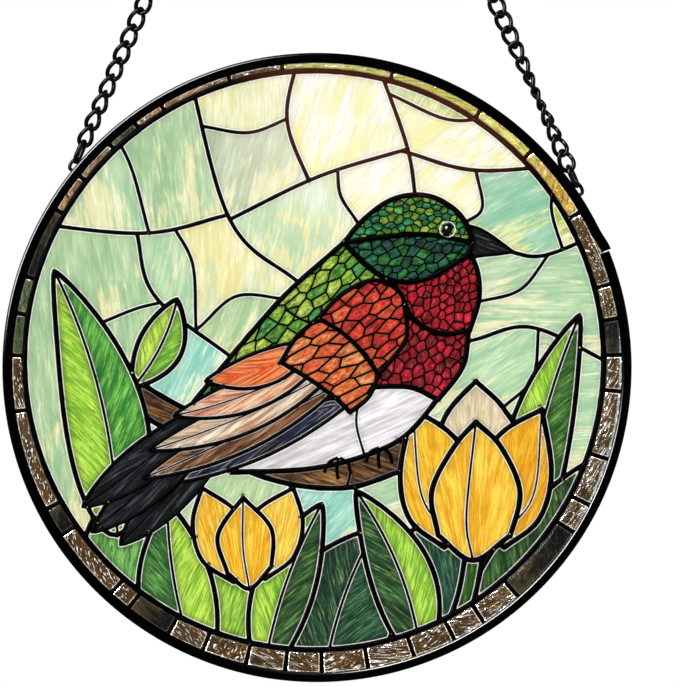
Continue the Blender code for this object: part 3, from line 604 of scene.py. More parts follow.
# which glass a shape is cut from, its deep and pale tints, and its grain: an angle in degrees, "rib" for
# streaks that leave the midrib at that angle, or "fan" for streaks from a point
cutFrom = {
    "wing_shoulder": ("scale", [("#b01a08", "#ff5836"), ("#c4300c", "#ff7a45"), ("#94100c", "#f23c2a")],
                      ("angle", 215)),
    "wing_covert": ("scale", [("#cc4214", "#ff9a52"), ("#d85a1c", "#ffb472"), ("#bf3414", "#ff7c44")],
                    ("angle", 210)),
    "wing_feather_1": ("feather", [("#d04414", "#ffa05c")], ("rib", 12)),
    "wing_feather_2": ("feather", [("#ca6c48", "#ffdab6")], ("rib", 12)),
    "wing_feather_3": ("feather", [("#ba8c66", "#ffefd6")], ("rib", 12)),
    "wing_feather_4": ("feather", [("#35190d", "#a06a40")], ("rib", 12)),
    "wing_feather_5": ("feather", [("#04060f", "#232c4a")], ("rib", 10)),
    "crown": ("scale", [("#2c6a1c", "#7cc84c"), ("#4a7c14", "#b4dc48"), ("#0f4a2c", "#3cae66")],
              ("angle", 190)),
    "cheek": ("scale", [("#05301f", "#1f8a5c"), ("#0a3c1a", "#39a04a"), ("#031c16", "#12604a")],
              ("angle", 200)),
    "throat": ("scale", [("#8c0010", "#ea0c2c"), ("#a40418", "#f81e3c"), ("#66000c", "#c80420")],
               ("angle", 250)),
    "beak": ("dark", [("#000000", "#090a0c")], ("angle", -20)),
    "breast": ("scale", [("#76000e", "#d80a28"), ("#8c0418", "#ec1a38"), ("#54000c", "#b40420")],
               ("angle", 245)),
    "belly": ("white", [("#cbc0c4", "#ffffff")], ("angle", 205)),
    "back": ("scale", [("#4e8c18", "#b8e24c"), ("#2c6c18", "#84c840"), ("#6c9a1c", "#dcf06a"),
                       ("#1c5c24", "#5cb85c")], ("angle", 222)),
    "tail_upper": ("dark", [("#000001", "#14171d")], ("rib", 6)),
    "tail_middle": ("dark", [("#010102", "#1a1e27")], ("rib", 6)),
    "tail_lower": ("dark", [("#000001", "#12151b")], ("rib", 6)),
    "tulip_front": ("petal", [("#e6a012", "#ffdc50")], ("fan", (51, -84))),
    "tulip_left": ("petal", [("#e09a10", "#ffd43c")], ("fan", (46, -78))),
    "tulip_right": ("petal", [("#dc920e", "#ffcc30")], ("fan", (58, -78))),
    "tulip_back": ("petal", [("#ccb88e", "#f4e8cc")], ("fan", (52, -60))),
    "small_tulip_front": ("petal", [("#e29c10", "#ffd840")], ("fan", (-20, -92))),
    "small_tulip_left": ("petal", [("#e2a012", "#ffe058")], ("fan", (-24, -88))),
    "small_tulip_right": ("petal", [("#e4a818", "#ffe464")], ("fan", (-17, -88))),
    "tulip_stem": ("leaf", [("#0e3a10", "#3a7a26")], ("angle", 80)),
    "leaf_1": ("leaf", [("#16381a", "#47763a"), ("#7cb82e", "#d0f064")], ("rib", 34)),
    "leaf_2": ("leaf", [("#0f2e18", "#3a6e40"), ("#70b02e", "#c6ea5a")], ("rib", 34)),
    "leaf_3": ("leaf", [("#6aac2c", "#c2e856"), ("#14321a", "#43703a")], ("rib", 34)),
    "leaf_4": ("leaf", [("#1c4e24", "#5c9c4a"), ("#7eb82e", "#d2f062")], ("rib", 34)),
    "leaf_5": ("leaf", [("#78b62c", "#ccf05e"), ("#2e7a30", "#70c054")], ("rib", 34)),
    "leaf_6": ("leaf", [("#88be30", "#d8f46c"), ("#54982a", "#a4dc52")], ("rib", 34)),
    "leaf_7": ("leaf", [("#78b62e", "#caee5c"), ("#1c4a22", "#54903e")], ("rib", 34)),
    "branch": ("bark", [("#2f1a0c", "#8f6238"), ("#3a2210", "#a5753f"), ("#26150b", "#7a5230")],
               ("angle", -20)),
    "leaf_8": ("leaf", [("#0a2418", "#2c5c42"), ("#0e3020", "#38704e")], ("rib", 34)),
    "leaf_9": ("leaf", [("#6aac2e", "#c4e85c")], ("angle", 70)),
    "leaf_10": ("leaf", [("#0a2c20", "#2f6850")], ("angle", 100)),
    "leaf_11": ("leaf", [("#347a3a", "#8cce6c")], ("angle", 80)),
}

# deep and pale tints of the ground's glass, and the second colour that washes over it
skyColours = {
    "mint": ("#a4cba4", "#cfe6bc", "#f3eab2"),
    "celadon": ("#a6c896", "#d2e4b4", "#f4ecb0"),
    "sage": ("#98bd94", "#c4dbac", "#efe4a8"),
    "aqua": ("#86cab8", "#c0e8d6", "#eef4c8"),
    "cream": ("#e4dc96", "#f9f6cc", "#c4dcae"),
    "lime": ("#a4bc44", "#e2ea84", "#fbf8c8"),
    "meadow": ("#84c4a4", "#b4dab8", "#eae640"),
    "white": ("#f4ee9c", "#ffffff", "#f6ee84"),
    "grey": ("#a9bb9e", "#d2dcb8", "#f2edc0"),
}

# lead lines that part one shape into several panes: whose they are, half their width, and their points
cutLines = [
    ("sky", 0.64, [(33, 50), (30, 68), (20, 96)]),
    ("sky", 0.64, [(62, 34.2), (74, 33), (96, 42)]),
    ("sky", 0.64, [(29, 66), (52, 60), (84, 62)]),
    ("sky", 0.64, [(-4, 24), (-26, 44), (-40, 94)]),
    ("sky", 0.64, [(-26, 46), (-54, 40), (-96, 44)]),
    ("sky", 0.64, [(-27, 44), (2, 58), (31, 67)]),
    ("sky", 0.64, [(51, 6), (70, 10), (96, -2)]),
    ("sky", 0.64, [(-25, 0), (-50, 20), (-56, 41)]),
    ("sky", 0.64, [(0, 54), (-8, 76), (-4, 98)]),
    ("sky", 0.64, [(-6, -44), (-8, -36)]),
    ("sky", 0.64, [(14.5, -45), (13, -38)]),
    # the finer cuts
    ("sky", 0.54, [(14, 44), (9, 52), (8, 60.5)]),
    ("sky", 0.54, [(-52, 40.5), (-58, 62), (-66, 76)]),
    ("sky", 0.54, [(-80, 29), (-86, 34), (-92, 36)]),
    ("sky", 0.54, [(-35, 74), (-20, 72), (-6.5, 77)]),
    ("sky", 0.54, [(25, 84), (44, 76), (62, 78)]),
    ("sky", 0.54, [(52, 60), (54, 48), (48, 43)]),
    ("sky", 0.54, [(52, 18), (66, 22), (75, 33)]),
    ("sky", 0.54, [(-66, 12), (-56, 16), (-48, 18)]),
    ("sky", 0.54, [(78, 60.5), (76, 48), (80, 33.5)]),
    ("sky", 0.54, [(-8, 19), (-24, 20), (-36, 10)]),
    ("sky", 0.54, [(-44, 42), (-38, 30), (-37, 11)]),
    ("sky", 0.54, [(-86, 0), (-90, 2), (-95, 2)]),
    ("sky", 0.54, [(60, -16), (70, -6), (72, 10)]),
    ("back", 0.4, [(-9, 16), (-2, 12), (4, 12)]),
    ("belly", 0.4, [(16, -10), (14, -20), (17, -32)]),
    ("branch", 0.4, [(10, -29), (12, -36), (10, -43)]),
    ("branch", 0.4, [(28, -24), (30, -31), (28, -38)]),
    ("tulip_front", 0.36, [(51, -64), (49, -50), (52, -20)]),
    ("tulip_left", 0.3, [(46, -58), (35, -44), (32, -16)]),
    ("tulip_right", 0.3, [(57, -58), (70, -44), (73, -16)]),
    ("small_tulip_front", 0.3, [(-20, -73), (-22, -60), (-22, -44)]),
]

# half the width of the lead along midribs, and whose they are
ribHalf = {
    0.42: [f"leaf_{number}" for number in range(1, 9)],
    0.24: ["wing_feather_2", "wing_feather_3", "wing_feather_4", "tail_upper", "tail_middle", "tail_lower"],
}
cutLines += [(name, half, drawing[name]["rib"]) for half, names in ribHalf.items() for name in names]

# small scale panes: middle of the patch, angle the scales point to and how far the patch reaches; length
# and width of a scale at the near end, how much larger they are at the far end, and half the width of their
# lead
scalePatches = {
    "throat": {"middle": (40, 20), "towards": 240, "reach": 40,
               "size": (2.4, 1.9), "grow": 1.9, "half": 0.24},
    "breast": {"middle": (35, 4), "towards": 235, "reach": 44,
               "size": (3.0, 2.3), "grow": 1.7, "half": 0.25},
    "back": {"middle": (-6, 12), "towards": 224, "reach": 70,
             "size": (5.4, 2.8), "grow": 1.7, "half": 0.3},
    "crown": {"middle": (30, 45), "towards": 192, "reach": 46,
              "size": (2.3, 1.8), "grow": 1.5, "half": 0.21},
    "cheek": {"middle": (30, 33), "towards": 205, "reach": 46,
              "size": (3.2, 2.2), "grow": 1.5, "half": 0.22},
    "wing_shoulder": {"middle": (17, 10), "towards": 214, "reach": 40,
                      "size": (6.0, 3.0), "grow": 1.4, "half": 0.31},
    "wing_covert": {"middle": (6, -2), "towards": 208, "reach": 40,
                    "size": (8.8, 3.5), "grow": 1.3, "half": 0.33},
}


# scales are the cells round scattered points: rows of points whose steps grow along the patch, every second
# row shifted half a step, and all jittered; a cell's side joins the centres of the circles through the
# corners of two neighbouring triangles
def scaleSides(look, seed):
    turn = math.radians(look["towards"])
    down, side = np.array([math.cos(turn), math.sin(turn)]), np.array([-math.sin(turn), math.cos(turn)])
    reach, (length, width) = look["reach"], look["size"]
    rows, columns = int(reach / length) + 2, int(reach / width) + 2
    i, j = np.meshgrid(np.arange(rows), np.arange(columns), indexing="ij")
    spin = np.random.default_rng(seed)
    share = (i + spin.uniform(-0.32, 0.32, i.shape)) / rows
    grown = (look["grow"] - 1) * share
    along = (share * (1 + grown / 2) / (0.5 + look["grow"] / 2) - 0.5) * reach * 1.15
    across = (j - columns / 2 + 0.5 * (i % 2) + spin.uniform(-0.34, 0.34, i.shape)) * width * (1 + grown)
    # the cells are found in a plane where a scale is as wide as it is long
    stretch = length / width
    flat = np.stack([along.ravel() / stretch, across.ravel()], axis=1)
    found = delaunay_2d_cdt([Vector(p) for p in flat.tolist()], [], [], 0, 1e-6)
    points, triangles = np.array([p[:] for p in found[0]]), np.array(found[2])
    a, b, c = points[triangles[:, 0]], points[triangles[:, 1]], points[triangles[:, 2]]
    ab, ac = b - a, c - a
    twice = 2 * (ab[:, 0] * ac[:, 1] - ab[:, 1] * ac[:, 0])
    ab2, ac2 = (ab**2).sum(axis=1), (ac**2).sum(axis=1)
    away = np.stack([ac[:, 1] * ab2 - ab[:, 1] * ac2, ab[:, 0] * ac2 - ac[:, 0] * ab2], axis=1)
    centre = a + away / twice[:, None]
    left, right, _ = sharedSides(triangles, len(points))
    first, last = centre[left], centre[right]
    span = np.linalg.norm(last - first, axis=1)
    kept = (span > 0.02) & (span < 4 * width * look["grow"])
    spread = np.stack([first[kept], last[kept]], axis=1)
    return np.array(look["middle"]) + spread[..., :1] * stretch * down + spread[..., 1:] * side


# a side is kept where any of five places along it is inside the shape
for seed, (owner, look) in enumerate(scalePatches.items()):
    sides = scaleSides(look, seed + 40)
    near = np.logical_or.reduce([insideOf(drawing[owner]["outline"], sides[:, 0] * (1 - t) + sides[:, 1] * t)
                                 for t in (0, 0.25, 0.5, 0.75, 1)])
    cutLines += [(owner, look["half"], line) for line in sides[near]]

picture = {
    "rim": 92.0, "rimHalf": 0.88, "rimShift": (0.6, -0.4),  # the lead circle round it, a little off centre
    "outline": 0.86, "fine": 0.34,  # half the width of other outlines; lead under fine lies on the glass
    "gridStep": 1.15, "besideLead": (0.2, 0.75),  # the map's triangles, and how far from lead extra rows lie
    "front": 1.38, "underLead": 0.12,  # where the glass's faces are, and how far it reaches under the lead
    "wave": 0.10, "ripple": 0.06,  # the glass's long waves, and small ones along its grain
    "pillow": 0.22, "pillowFrom": 1.6,  # how far a scale bulges, and how far from its lead
}
leadHalf = {"wing_feather": 0.62, "tail": 0.60, "beak": 0.5, "wing": 0.76, "small_tulip": 0.72, "leaf": 0.80}


# points round a circle, at even steps
def circlePoints(radius):
    turn = np.linspace(0, 2 * math.pi, int(2 * math.pi * radius / lineStep), endpoint=False)
    return radius * np.stack([np.cos(turn), np.sin(turn)], axis=1)


# a line made longer at both ends, so that it surely meets the line it ends at; what sticks out isn't shown
def lengthened(points, by=1.8):
    head, tail = points[0] - points[1], points[-1] - points[-2]
    head, tail = head / np.linalg.norm(head) * by, tail / np.linalg.norm(tail) * by
    return np.vstack([points[0] + head, points, points[-1] + tail])


# a straight line in short steps, so that no edge of the map crosses a pane in one go
def stepped(points):
    first, last = np.array(points, float)
    count = max(2, math.ceil(np.linalg.norm(last - first) / lineStep) + 1)
    return first + (last - first) * np.linspace(0, 1, count)[:, None]


# how a cut line runs: straight between two points, smooth through a few, and as it is where it's a midrib
def cutPath(points):
    if len(points) == 2:
        return stepped(points)
    return lengthened(smoothCurve(points) if len(points) < 8 else points)


# half the width of the lead round a shape
def halfOf(name):
    return next((half for start, half in leadHalf.items() if name.startswith(start)), picture["outline"])


rimLine = circlePoints(picture["rim"]) + picture["rimShift"]
cuts = [(owner, half, cutPath(points)) for owner, half, points in cutLines]
lines = [(shape["outline"], True) for shape in drawing.values()]
lines += [(rimLine, True)] + [(points, False) for _, _, points in cuts]
halves = [halfOf(name) for name in shapeNames] + [picture["rimHalf"]] + [half for _, half, _ in cuts]
halves = np.array(halves)
sky = len(shapeNames)  # the ground's number among the shapes, and the rim's among the lines


# every line as edges between numbered points, and which line each edge is from
def lineEdges():
    sizes = np.array([len(points) for points, _ in lines])
    firsts = np.cumsum(sizes) - sizes
    edges, source = [], []
    for number, ((points, isClosed), first) in enumerate(zip(lines, firsts)):
        a = np.arange(len(points) if isClosed else len(points) - 1)
        edges.append(first + np.stack([a, (a + 1) % len(points)], axis=1))
        source.append(np.full(len(a), number))
    return np.vstack(edges), np.concatenate(source)


# corners for the map's triangles inside the rim: a grid of even triangles, and rows beside every wide line
def gridPoints():
    step = picture["gridStep"]
    count = int(picture["rim"] / step) + 2
    i, j = np.meshgrid(np.arange(-count, count + 1), np.arange(-count - 20, count + 21))
    rowHigh = 0.866  # of a row of even triangles, in steps
    grid = [np.stack([(i + 0.5 * (j % 2)) * step, j * step * rowHigh], axis=2).reshape(-1, 2)]
    for (points, isClosed), half in zip(lines, halves):
        if half > picture["fine"]:
            aside = leftOf(wayAlong(points, isClosed))
            grid += [points + aside * way * (half + gap) for way in (-1, 1) for gap in picture["besideLead"]]
    grid = np.vstack(grid)
    return grid[insideOf(rimLine, grid)]


# triangles joined into panes: each takes the lowest number of all that it can be reached from
def joinedPanes(count, left, right):
    pane = np.arange(count)
    while True:
        before = pane.copy()
        low = np.minimum(pane[left], pane[right])
        np.minimum.at(pane, left, low)
        np.minimum.at(pane, right, low)
        pane = pane[pane]
        if (pane == before).all():
            return pane


# the flat map of the picture: every line is an edge of one triangulation, whose triangles are labelled with
# the front shape over their middle, and joined into panes across every edge that no lead line of theirs
# runs along
def mapPicture():
    edges, source = lineEdges()
    everything = np.vstack([*(points for points, _ in lines), gridPoints()])
    found = delaunay_2d_cdt([Vector(p) for p in everything.tolist()], edges.tolist(), [], 0, 1e-3)
    points, triangles = np.array([p[:] for p in found[0]]), np.array(found[2])
    middles = points[triangles].mean(axis=1)
    label = np.full(len(triangles), sky)
    for number in reversed(range(sky)):
        label[insideOf(lines[number][0], middles)] = number
    label[~insideOf(rimLine, middles)] = -1

    # the map's edges by key, the triangles on both sides of each, and the last line that runs along it
    many = len(points)
    drawn = np.sort(np.array(found[1]), axis=1) @ [many, 1]
    order = np.argsort(drawn)
    left, right, keys = sharedSides(triangles, many)
    edge = order[np.searchsorted(drawn[order], keys)]
    held = np.array([len(s) > 0 for s in found[4]])
    last = np.array([max(s, default=-1) for s in found[4]])
    cut = np.where(held, source[last] - sky - 1, -1)[edge]
    owners = np.array([sky if owner == "sky" else shapeNames.index(owner) for owner, _, _ in cuts])
    parted = (cut >= 0) & (owners[np.maximum(cut, 0)] == label[left])
    joined = (label[left] == label[right]) & (label[left] >= 0) & ~parted
    pane = joinedPanes(len(triangles), left[joined], right[joined])

    # how much of each line's every segment parts two panes, from where to where along it
    parting = held[edge] & (pane[left] != pane[right]) & (np.maximum(label[left], label[right]) >= 0)
    edge = edge[parting]
    segment = last[edge]
    begin = everything[edges[segment, 0]]
    span = everything[edges[segment, 1]] - begin
    ends = points[np.array(found[1])[edge]] - begin[:, None]
    share = (ends * span[:, None]).sum(axis=2) / np.maximum((span**2).sum(axis=1), 1e-12)[:, None]
    low, high = np.full(len(edges), 2.0), np.full(len(edges), -1.0)
    np.minimum.at(low, segment, share.min(axis=1))
    np.maximum.at(high, segment, share.max(axis=1))
    shown = []
    for (line, isClosed), first in zip(lines, np.searchsorted(source, np.arange(len(lines)))):
        own = slice(first, first + len(line) - (not isClosed))
        shown.append((line, isClosed, low[own], high[own]))
    reach = np.where(held, halves[source[last]], 0.0)[order]
    return points, triangles, label, pane, shown, (drawn[order], reach)


mapPoints, mapTriangles, mapLabel, mapPane, shownLines, (wallKeys, wallReach) = mapPicture()
print("picture mapped,", len(mapTriangles), "triangles in", len(np.unique(mapPane[mapLabel >= 0])), "panes")


# grain of a pane, how far along its streaks and how far across them a point lies: from the nearest point of
# a midrib, from the foot of a fan, or along one angle
def grainOf(rule, points, rib):
    how, value = rule
    if how == "rib":
        near = ((points[:, None] - rib) ** 2).sum(axis=2).argmin(axis=1)
        arc = np.concatenate([[0], np.cumsum(np.linalg.norm(np.diff(rib, axis=0), axis=1))])
        away, ahead = points - rib[near], wayAlong(rib, False)[near]
        along = arc[near] + (away * ahead).sum(axis=1)
        aside = abs(ahead[:, 0] * away[:, 1] - ahead[:, 1] * away[:, 0])
    elif how == "fan":
        away = points - np.array(value)
        widened = 45  # millimetres across for a turn of one radian
        return np.hypot(*away.T), np.arctan2(away[:, 0], away[:, 1]) * widened
    else:
        along, aside = points.T
    turn = math.radians(value)
    return along * math.cos(turn) + aside * math.sin(turn), aside * math.cos(turn) - along * math.sin(turn)


# where each colour of the ground is
skySpots = [
    ((5, 78), "white"), ((-20, 82), "cream"), ((-22, 60), "grey"), ((26, 80), "white"),
    ((20, 55), "white"), ((44, 86), "lime"), ((66, 68), "lime"), ((44, 66), "white"),
    ((62, 50), "meadow"), ((-60, 62), "mint"), ((-45, 76), "sage"), ((-78, 34), "celadon"),
    ((-62, 28), "celadon"), ((-46, 30), "mint"), ((-28, 34), "cream"), ((-26, 12), "celadon"),
    ((-4, 42), "mint"), ((84, 44), "lime"), ((70, 28), "mint"), ((60, 14), "aqua"), ((80, 4), "grey"),
    ((62, -6), "mint"), ((74, -4), "aqua"), ((-86, -20), "mint"), ((-60, 12), "sage"), ((-34, 8), "aqua"),
    ((0, -42), "aqua"), ((86, -30), "mint"), ((22, -46), "mint"), ((-20, -42), "celadon"),
    ((-92, 20), "mint"),
]
# painted light: a glow painted into the ground's tints near the top, as of light shining through there:
# where, how wide, how strong, and its three tints
paintedSkyGlow = {"middle": (12, 70), "spread": 24, "share": 0.8, "tints": ("#faf5cc", "#ffffff", "#fbf4a8")}


# a sky pane takes the colour of the spot nearest its middle, and pales towards the painted glow by a bell
# curve
def skyTints(middle, points):
    spots = np.array([place for place, _ in skySpots], float)
    chosen = skySpots[int(((spots - middle) ** 2).sum(axis=1).argmin())][1]
    away = ((points - paintedSkyGlow["middle"]) ** 2).sum(axis=1)
    glow = np.exp(-away / (2 * paintedSkyGlow["spread"] ** 2))[:, None] * paintedSkyGlow["share"]
    pairs = zip(skyColours[chosen], paintedSkyGlow["tints"])
    return [tint(code) * (1 - glow) + tint(lit) * glow for code, lit in pairs]


# a ground pane's tints, how low each point lies in it, from -1 at its top to 1 at its foot, and its grain,
# which leans more from left to right
def skyPane(middle, points, spin):
    low = 1 - 2 * (points[:, 1] - points[:, 1].min()) / np.ptp(points[:, 1])
    lean = 92 - 0.62 * np.clip(middle[0] - middle[1] * 0.4 + 60, 0, 150)
    return *skyTints(middle, points), low, grainOf(("angle", lean + spin.uniform(-14, 14)), points, None)


# a shape's panes, each with corners of its own: which pane each corner is of and where, the triangles by
# corner, the sides at the panes' edges, how far the lead along each of those reaches, and each corner's way
# in
def panesOf(number):
    chosen = np.flatnonzero(mapLabel == number)
    _, pane = np.unique(mapPane[chosen], return_inverse=True)
    many = len(mapPoints)
    keys, corners = np.unique(pane[:, None] * many + mapTriangles[chosen], return_inverse=True)
    corners = corners.reshape(-1, 3)
    paneOf, flat = keys // many, mapPoints[keys % many]
    directed = corners[:, [[0, 1], [1, 2], [2, 0]]].reshape(-1, 2)
    border = directed[~np.isin(directed @ [len(keys), 1], directed @ [1, len(keys)])]
    inward = leftOf(unit(flat[border[:, 1]] - flat[border[:, 0]]))
    push = np.zeros_like(flat)
    np.add.at(push, border[:, 0], inward)
    np.add.at(push, border[:, 1], inward)
    wall = np.sort(keys[border] % many, axis=1) @ [many, 1]
    return paneOf, flat, corners, border, wallReach[np.searchsorted(wallKeys, wall)], unit(push)


# the glass's front and back points: both faces wave, and a scale swells from its edge by a power of the
# distance
def glassPoints(flat, edge, grain, isScale, seed):
    wave = picture["wave"] * latticeNoise(flat[:, 0], flat[:, 1], 8, 3)
    wave = wave + picture["ripple"] * latticeNoise(grain[:, 0] / 5, grain[:, 1], 1.7, seed)
    pillow = picture["pillow"] * np.clip(edge / picture["pillowFrom"], 0, 1) ** 0.7 * isScale
    x, z = flat[:, 0] + pictureX, flat[:, 1] + pictureZ
    front, back = -picture["front"] - wave - pillow, picture["front"] - 0.6 * wave + pillow
    return np.vstack([np.stack([x, front, z], axis=1), np.stack([x, back, z], axis=1)])


# the frame's nodes whose place a shape takes, and the slot that its name starts with
def nodesAndSlot(name):
    nodes = [node for node in frame["nodes"]
             if node == name or (node.startswith(name + "_") and node[len(name) + 1:].isdigit())]
    slots = [material["slot"] for material in frame["record"]["materials"]]
    return nodes, next(slot for slot in slots if name.startswith(slot.replace("_glass", "")))


# one shape's glass: its triangles on both faces, and a wall round every pane, a little in from the lead's
# middle line; each pane has its own tints, grain and lightness, from draws that are seeded by its number
def makeGlass(name, number):
    isSky = name == "sky"
    kind, tints, rule = ("sky", None, None) if isSky else cutFrom[name]
    isScale = kind == "scale"
    paneOf, flat, corners, border, reach, inward = panesOf(number)
    size = len(flat)
    deep, pale, wash, grain = np.zeros((4, size, 3))
    edge, low = np.zeros((2, size))
    for index in range(paneOf.max() + 1):
        mine = np.flatnonzero(paneOf == index)
        rimmed = paneOf[border[:, 0]] == index
        rim = border[rimmed]
        points, middle = flat[mine], flat[rim[:, 0]].mean(axis=0)
        edge[mine] = distanceTo(flat[rim[:, 0]], flat[rim[:, 1]], points, reach[rimmed])
        spin = np.random.default_rng([number, index])
        if isSky:
            deep[mine], pale[mine], wash[mine], low[mine], (u, v) = skyPane(middle, points, spin)
        else:
            pick = tints[spin.integers(len(tints))] if isScale else tints[index % len(tints)]
            deep[mine], pale[mine] = tint(pick[0]), tint(pick[1])
            u, v = grainOf(rule, points, drawing[name].get("rib"))
        light = 1 + spin.uniform(-1, 1) * (0.24 if isScale else 0.05)
        deep[mine] *= light
        pale[mine] *= min(light, 1.1)
        grain[mine] = np.stack([u, v, np.full(len(mine), spin.uniform(0, 60))], axis=1)
    points = glassPoints(flat + inward * picture["underLead"], edge, grain, isScale, number)
    walls = np.stack([border[:, 0], border[:, 0] + size, border[:, 1] + size, border[:, 1]], axis=1)
    faces = [corners, corners[:, ::-1] + size, walls]
    piece = makePiece(name + "_pane", points, faces, glass[kind], *nodesAndSlot(name))
    addAttribute(piece, "grain", "FLOAT_VECTOR", np.vstack([grain, grain]))
    tinted = {"deepTint": deep, "paleTint": pale, "washTint": wash}
    values = {"edge": edge, "low": low, **{label: np.clip(colour, 0, 1) for label, colour in tinted.items()}}
    addValues(piece, {label: np.concatenate([value, value]) for label, value in values.items()})


for number, name in enumerate([*shapeNames, "sky"]):
    makeGlass(name, number)
print("glass made")

bead = {
    "base": 1.42, "waver": 0.09,  # where a bead starts, from the middle plane, and how uneven it is
    "rimRise": 0.66, "shapeRise": 0.62, "cutRise": 0.42,  # how far the beads stand up from there
    "sunk": 0.25, "fineRise": 0.37,  # how far fine lead goes into the glass, and how far it stands up
}
# width against the lead's, and height from the middle plane
solder = {"swell": 1.25, "lift": 2.12, "borderSwell": 1.3, "borderLift": 1.9}


# how much wider and higher a bead is along its path, by smooth noise round 1
def waverOf(path, seed):
    return 1 + bead["waver"] * latticeNoise(path[:, 0], path[:, 1], 2.4, seed)[:, None]


# a section carried along a flat path: each of its points lies so far to the left of the path, and so deep
def swept(path, side, across, depth):
    x, z = path[:, :1] + side[:, :1] * across, path[:, 1:] + side[:, 1:] * across
    return np.stack([x, depth + 0 * x, z], axis=2).reshape(-1, 3)


# a bead of lead: a path with a low round cap on the front and the same on the back, closed at both ends;
# the cap's width goes by a cosine, and its height by a sine to the power of 0.85
def beadBlock(path, half, rise, isClosed, seed, sides=7):
    waver = waverOf(path, seed)
    turn = np.linspace(0, math.pi, sides)
    across = np.concatenate([np.cos(turn), np.cos(turn[::-1])])
    out = np.concatenate([-np.sin(turn) ** 0.85, np.sin(turn) ** 0.85])
    base = np.concatenate([np.full(sides, -bead["base"]), np.full(sides, bead["base"])])
    points = swept(path, leftOf(wayAlong(path, isClosed)), across * half * waver, base + out * rise * waver)
    columns = 2 * sides
    faces = [gridFaces(len(path), columns, isClosed, True)]
    if not isClosed:
        k = np.arange(sides - 1)
        cap = np.stack([k, columns - 1 - k, columns - 2 - k, k + 1], axis=1)
        faces += [cap, cap[:, ::-1] + (len(path) - 1) * columns]
    return points, np.vstack(faces)


# fine lead lies on the glass and doesn't part it: on one face, a low ridge whose flat underside is sunk
# into the glass; face is -1 for the front and 1 for the back
def ridgeBlock(path, half, rise, face, seed):
    across = np.array([1, 1, 0.5, -0.5, -1, -1]) * half
    height = bead["base"] + np.array([-bead["sunk"], 0, rise, rise, 0, -bead["sunk"]])
    points = swept(path, leftOf(wayAlong(path, False)), across * waverOf(path, seed), face * height)
    columns = len(across)
    cap = np.array([[5, 4, 1, 0], [4, 3, 2, 1]])
    faces = [gridFaces(len(path), columns, False, True), cap, cap[:, ::-1] + (len(path) - 1) * columns]
    return points, turnedOut(points, np.vstack(faces))


# the stretches of a line that part two panes, each cut off where it meets the lines that end it, and then
# led on by lap; low and high say from where to where each of its segments is shown
def shownRuns(points, isClosed, low, high, lap=0.0):
    many = len(low)
    live = high > low
    if isClosed and live.all():
        return [(points, True)]
    start = int(np.flatnonzero(~live)[0]) if isClosed else 0
    state = np.roll(live, -start).astype(int)
    change = np.diff(np.concatenate([[0], state, [0]]))
    runs = []
    for first, last in zip(np.flatnonzero(change == 1), np.flatnonzero(change == -1)):
        span = (np.arange(first, last + 1) + start) % len(points)
        path = points[span].copy()
        lowest, highest = low[(first + start) % many], high[(last - 1 + start) % many]
        ends = np.stack([path[1] - path[0], path[-1] - path[-2]])
        shorter = ends * np.clip([[lowest], [1 - highest]], 0, 0.95) - unit(ends) * lap
        path[0], path[-1] = path[0] + shorter[0], path[-1] - shorter[1]
        if np.linalg.norm(np.diff(path, axis=0), axis=1).sum() > 0.12:
            runs.append((path, False))
    return runs


# solder where leads meet: a low lens on each joint, its width by a sine and its height by a cosine, and a
# little uneven round its edge by three waves; places hold x, z and half the lead's width
def solderBlock(places, swell, lift, seed, rings=7, around=14):
    spin = np.random.default_rng(seed)
    places = np.array(places)
    many = len(places)
    theta = np.linspace(0, math.pi, rings)[None, :, None]
    turn = np.linspace(0, 2 * math.pi, around, endpoint=False)[None, None]
    phase = spin.uniform(0, 2 * math.pi, (3, many, 1, 1))
    uneven = 1 + sum(size * np.sin(waves * turn + phase[k])
                     for k, (size, waves) in enumerate(((0.14, 2), (0.09, 3), (0.05, 5))))
    radius = (places[:, 2] * swell + 0.15)[:, None, None] * spin.uniform(0.85, 1.15, (many, 1, 1))
    radius = radius * uneven * np.sin(theta)
    height = lift * spin.uniform(0.95, 1.04, (many, 1, 1)) * np.cos(theta)
    x = places[:, 0, None, None] + radius * np.cos(turn)
    z = places[:, 1, None, None] + radius * np.sin(turn)
    points = np.stack([x, -height + 0 * turn, z], axis=3).reshape(-1, 3)
    one = gridFaces(rings, around, False, True)
    firsts = (np.arange(many) * rings * around)[:, None, None]
    return points, (one[None] + firsts).reshape(-1, 4)


# lead pieces are drawn about the picture's centre, so they move to it here
def placed(points):
    return points + [pictureX, 0, pictureZ]


# every line of the picture in lead: the rim, a bead or a pair of fine ridges on each stretch that shows,
# and solder where a bead ends
def makeLead():
    beads, ridges, joints = [], [], []
    for number, (line, isClosed, low, high) in enumerate(shownLines):
        half = halves[number]
        if number == sky:
            beads.append(beadBlock(line, half, bead["rimRise"], True, 7))
        elif half < picture["fine"]:
            rise = bead["fineRise"] + half * 0.22
            for run, _ in shownRuns(line, isClosed, low, high, half * 0.6):
                ridges += [ridgeBlock(run, half, rise, face, number) for face in (-1, 1)]
        else:
            rise = bead["shapeRise"] if number < sky else bead["cutRise"] + half * 0.25
            for run, isWhole in shownRuns(line, isClosed, low, high):
                beads.append(beadBlock(run, half, rise, isWhole, number))
                if not isWhole:
                    joints += [(*run[0], half), (*run[-1], half)]
    points, faces = joinBlocks(beads)
    makePiece("lead_lines", placed(points), faces, leadMetal, ["lead_net"], "lead", 60)
    points, faces = joinBlocks(ridges)
    makePiece("fine_lead_lines", placed(points), faces, leadMetal, (), "lead", 60)
    points, faces = solderBlock(joints, solder["swell"], solder["lift"], 5)
    makePiece("solder_joints", placed(points), [faces], solderMetal, (), "lead", 60, True)


makeLead()
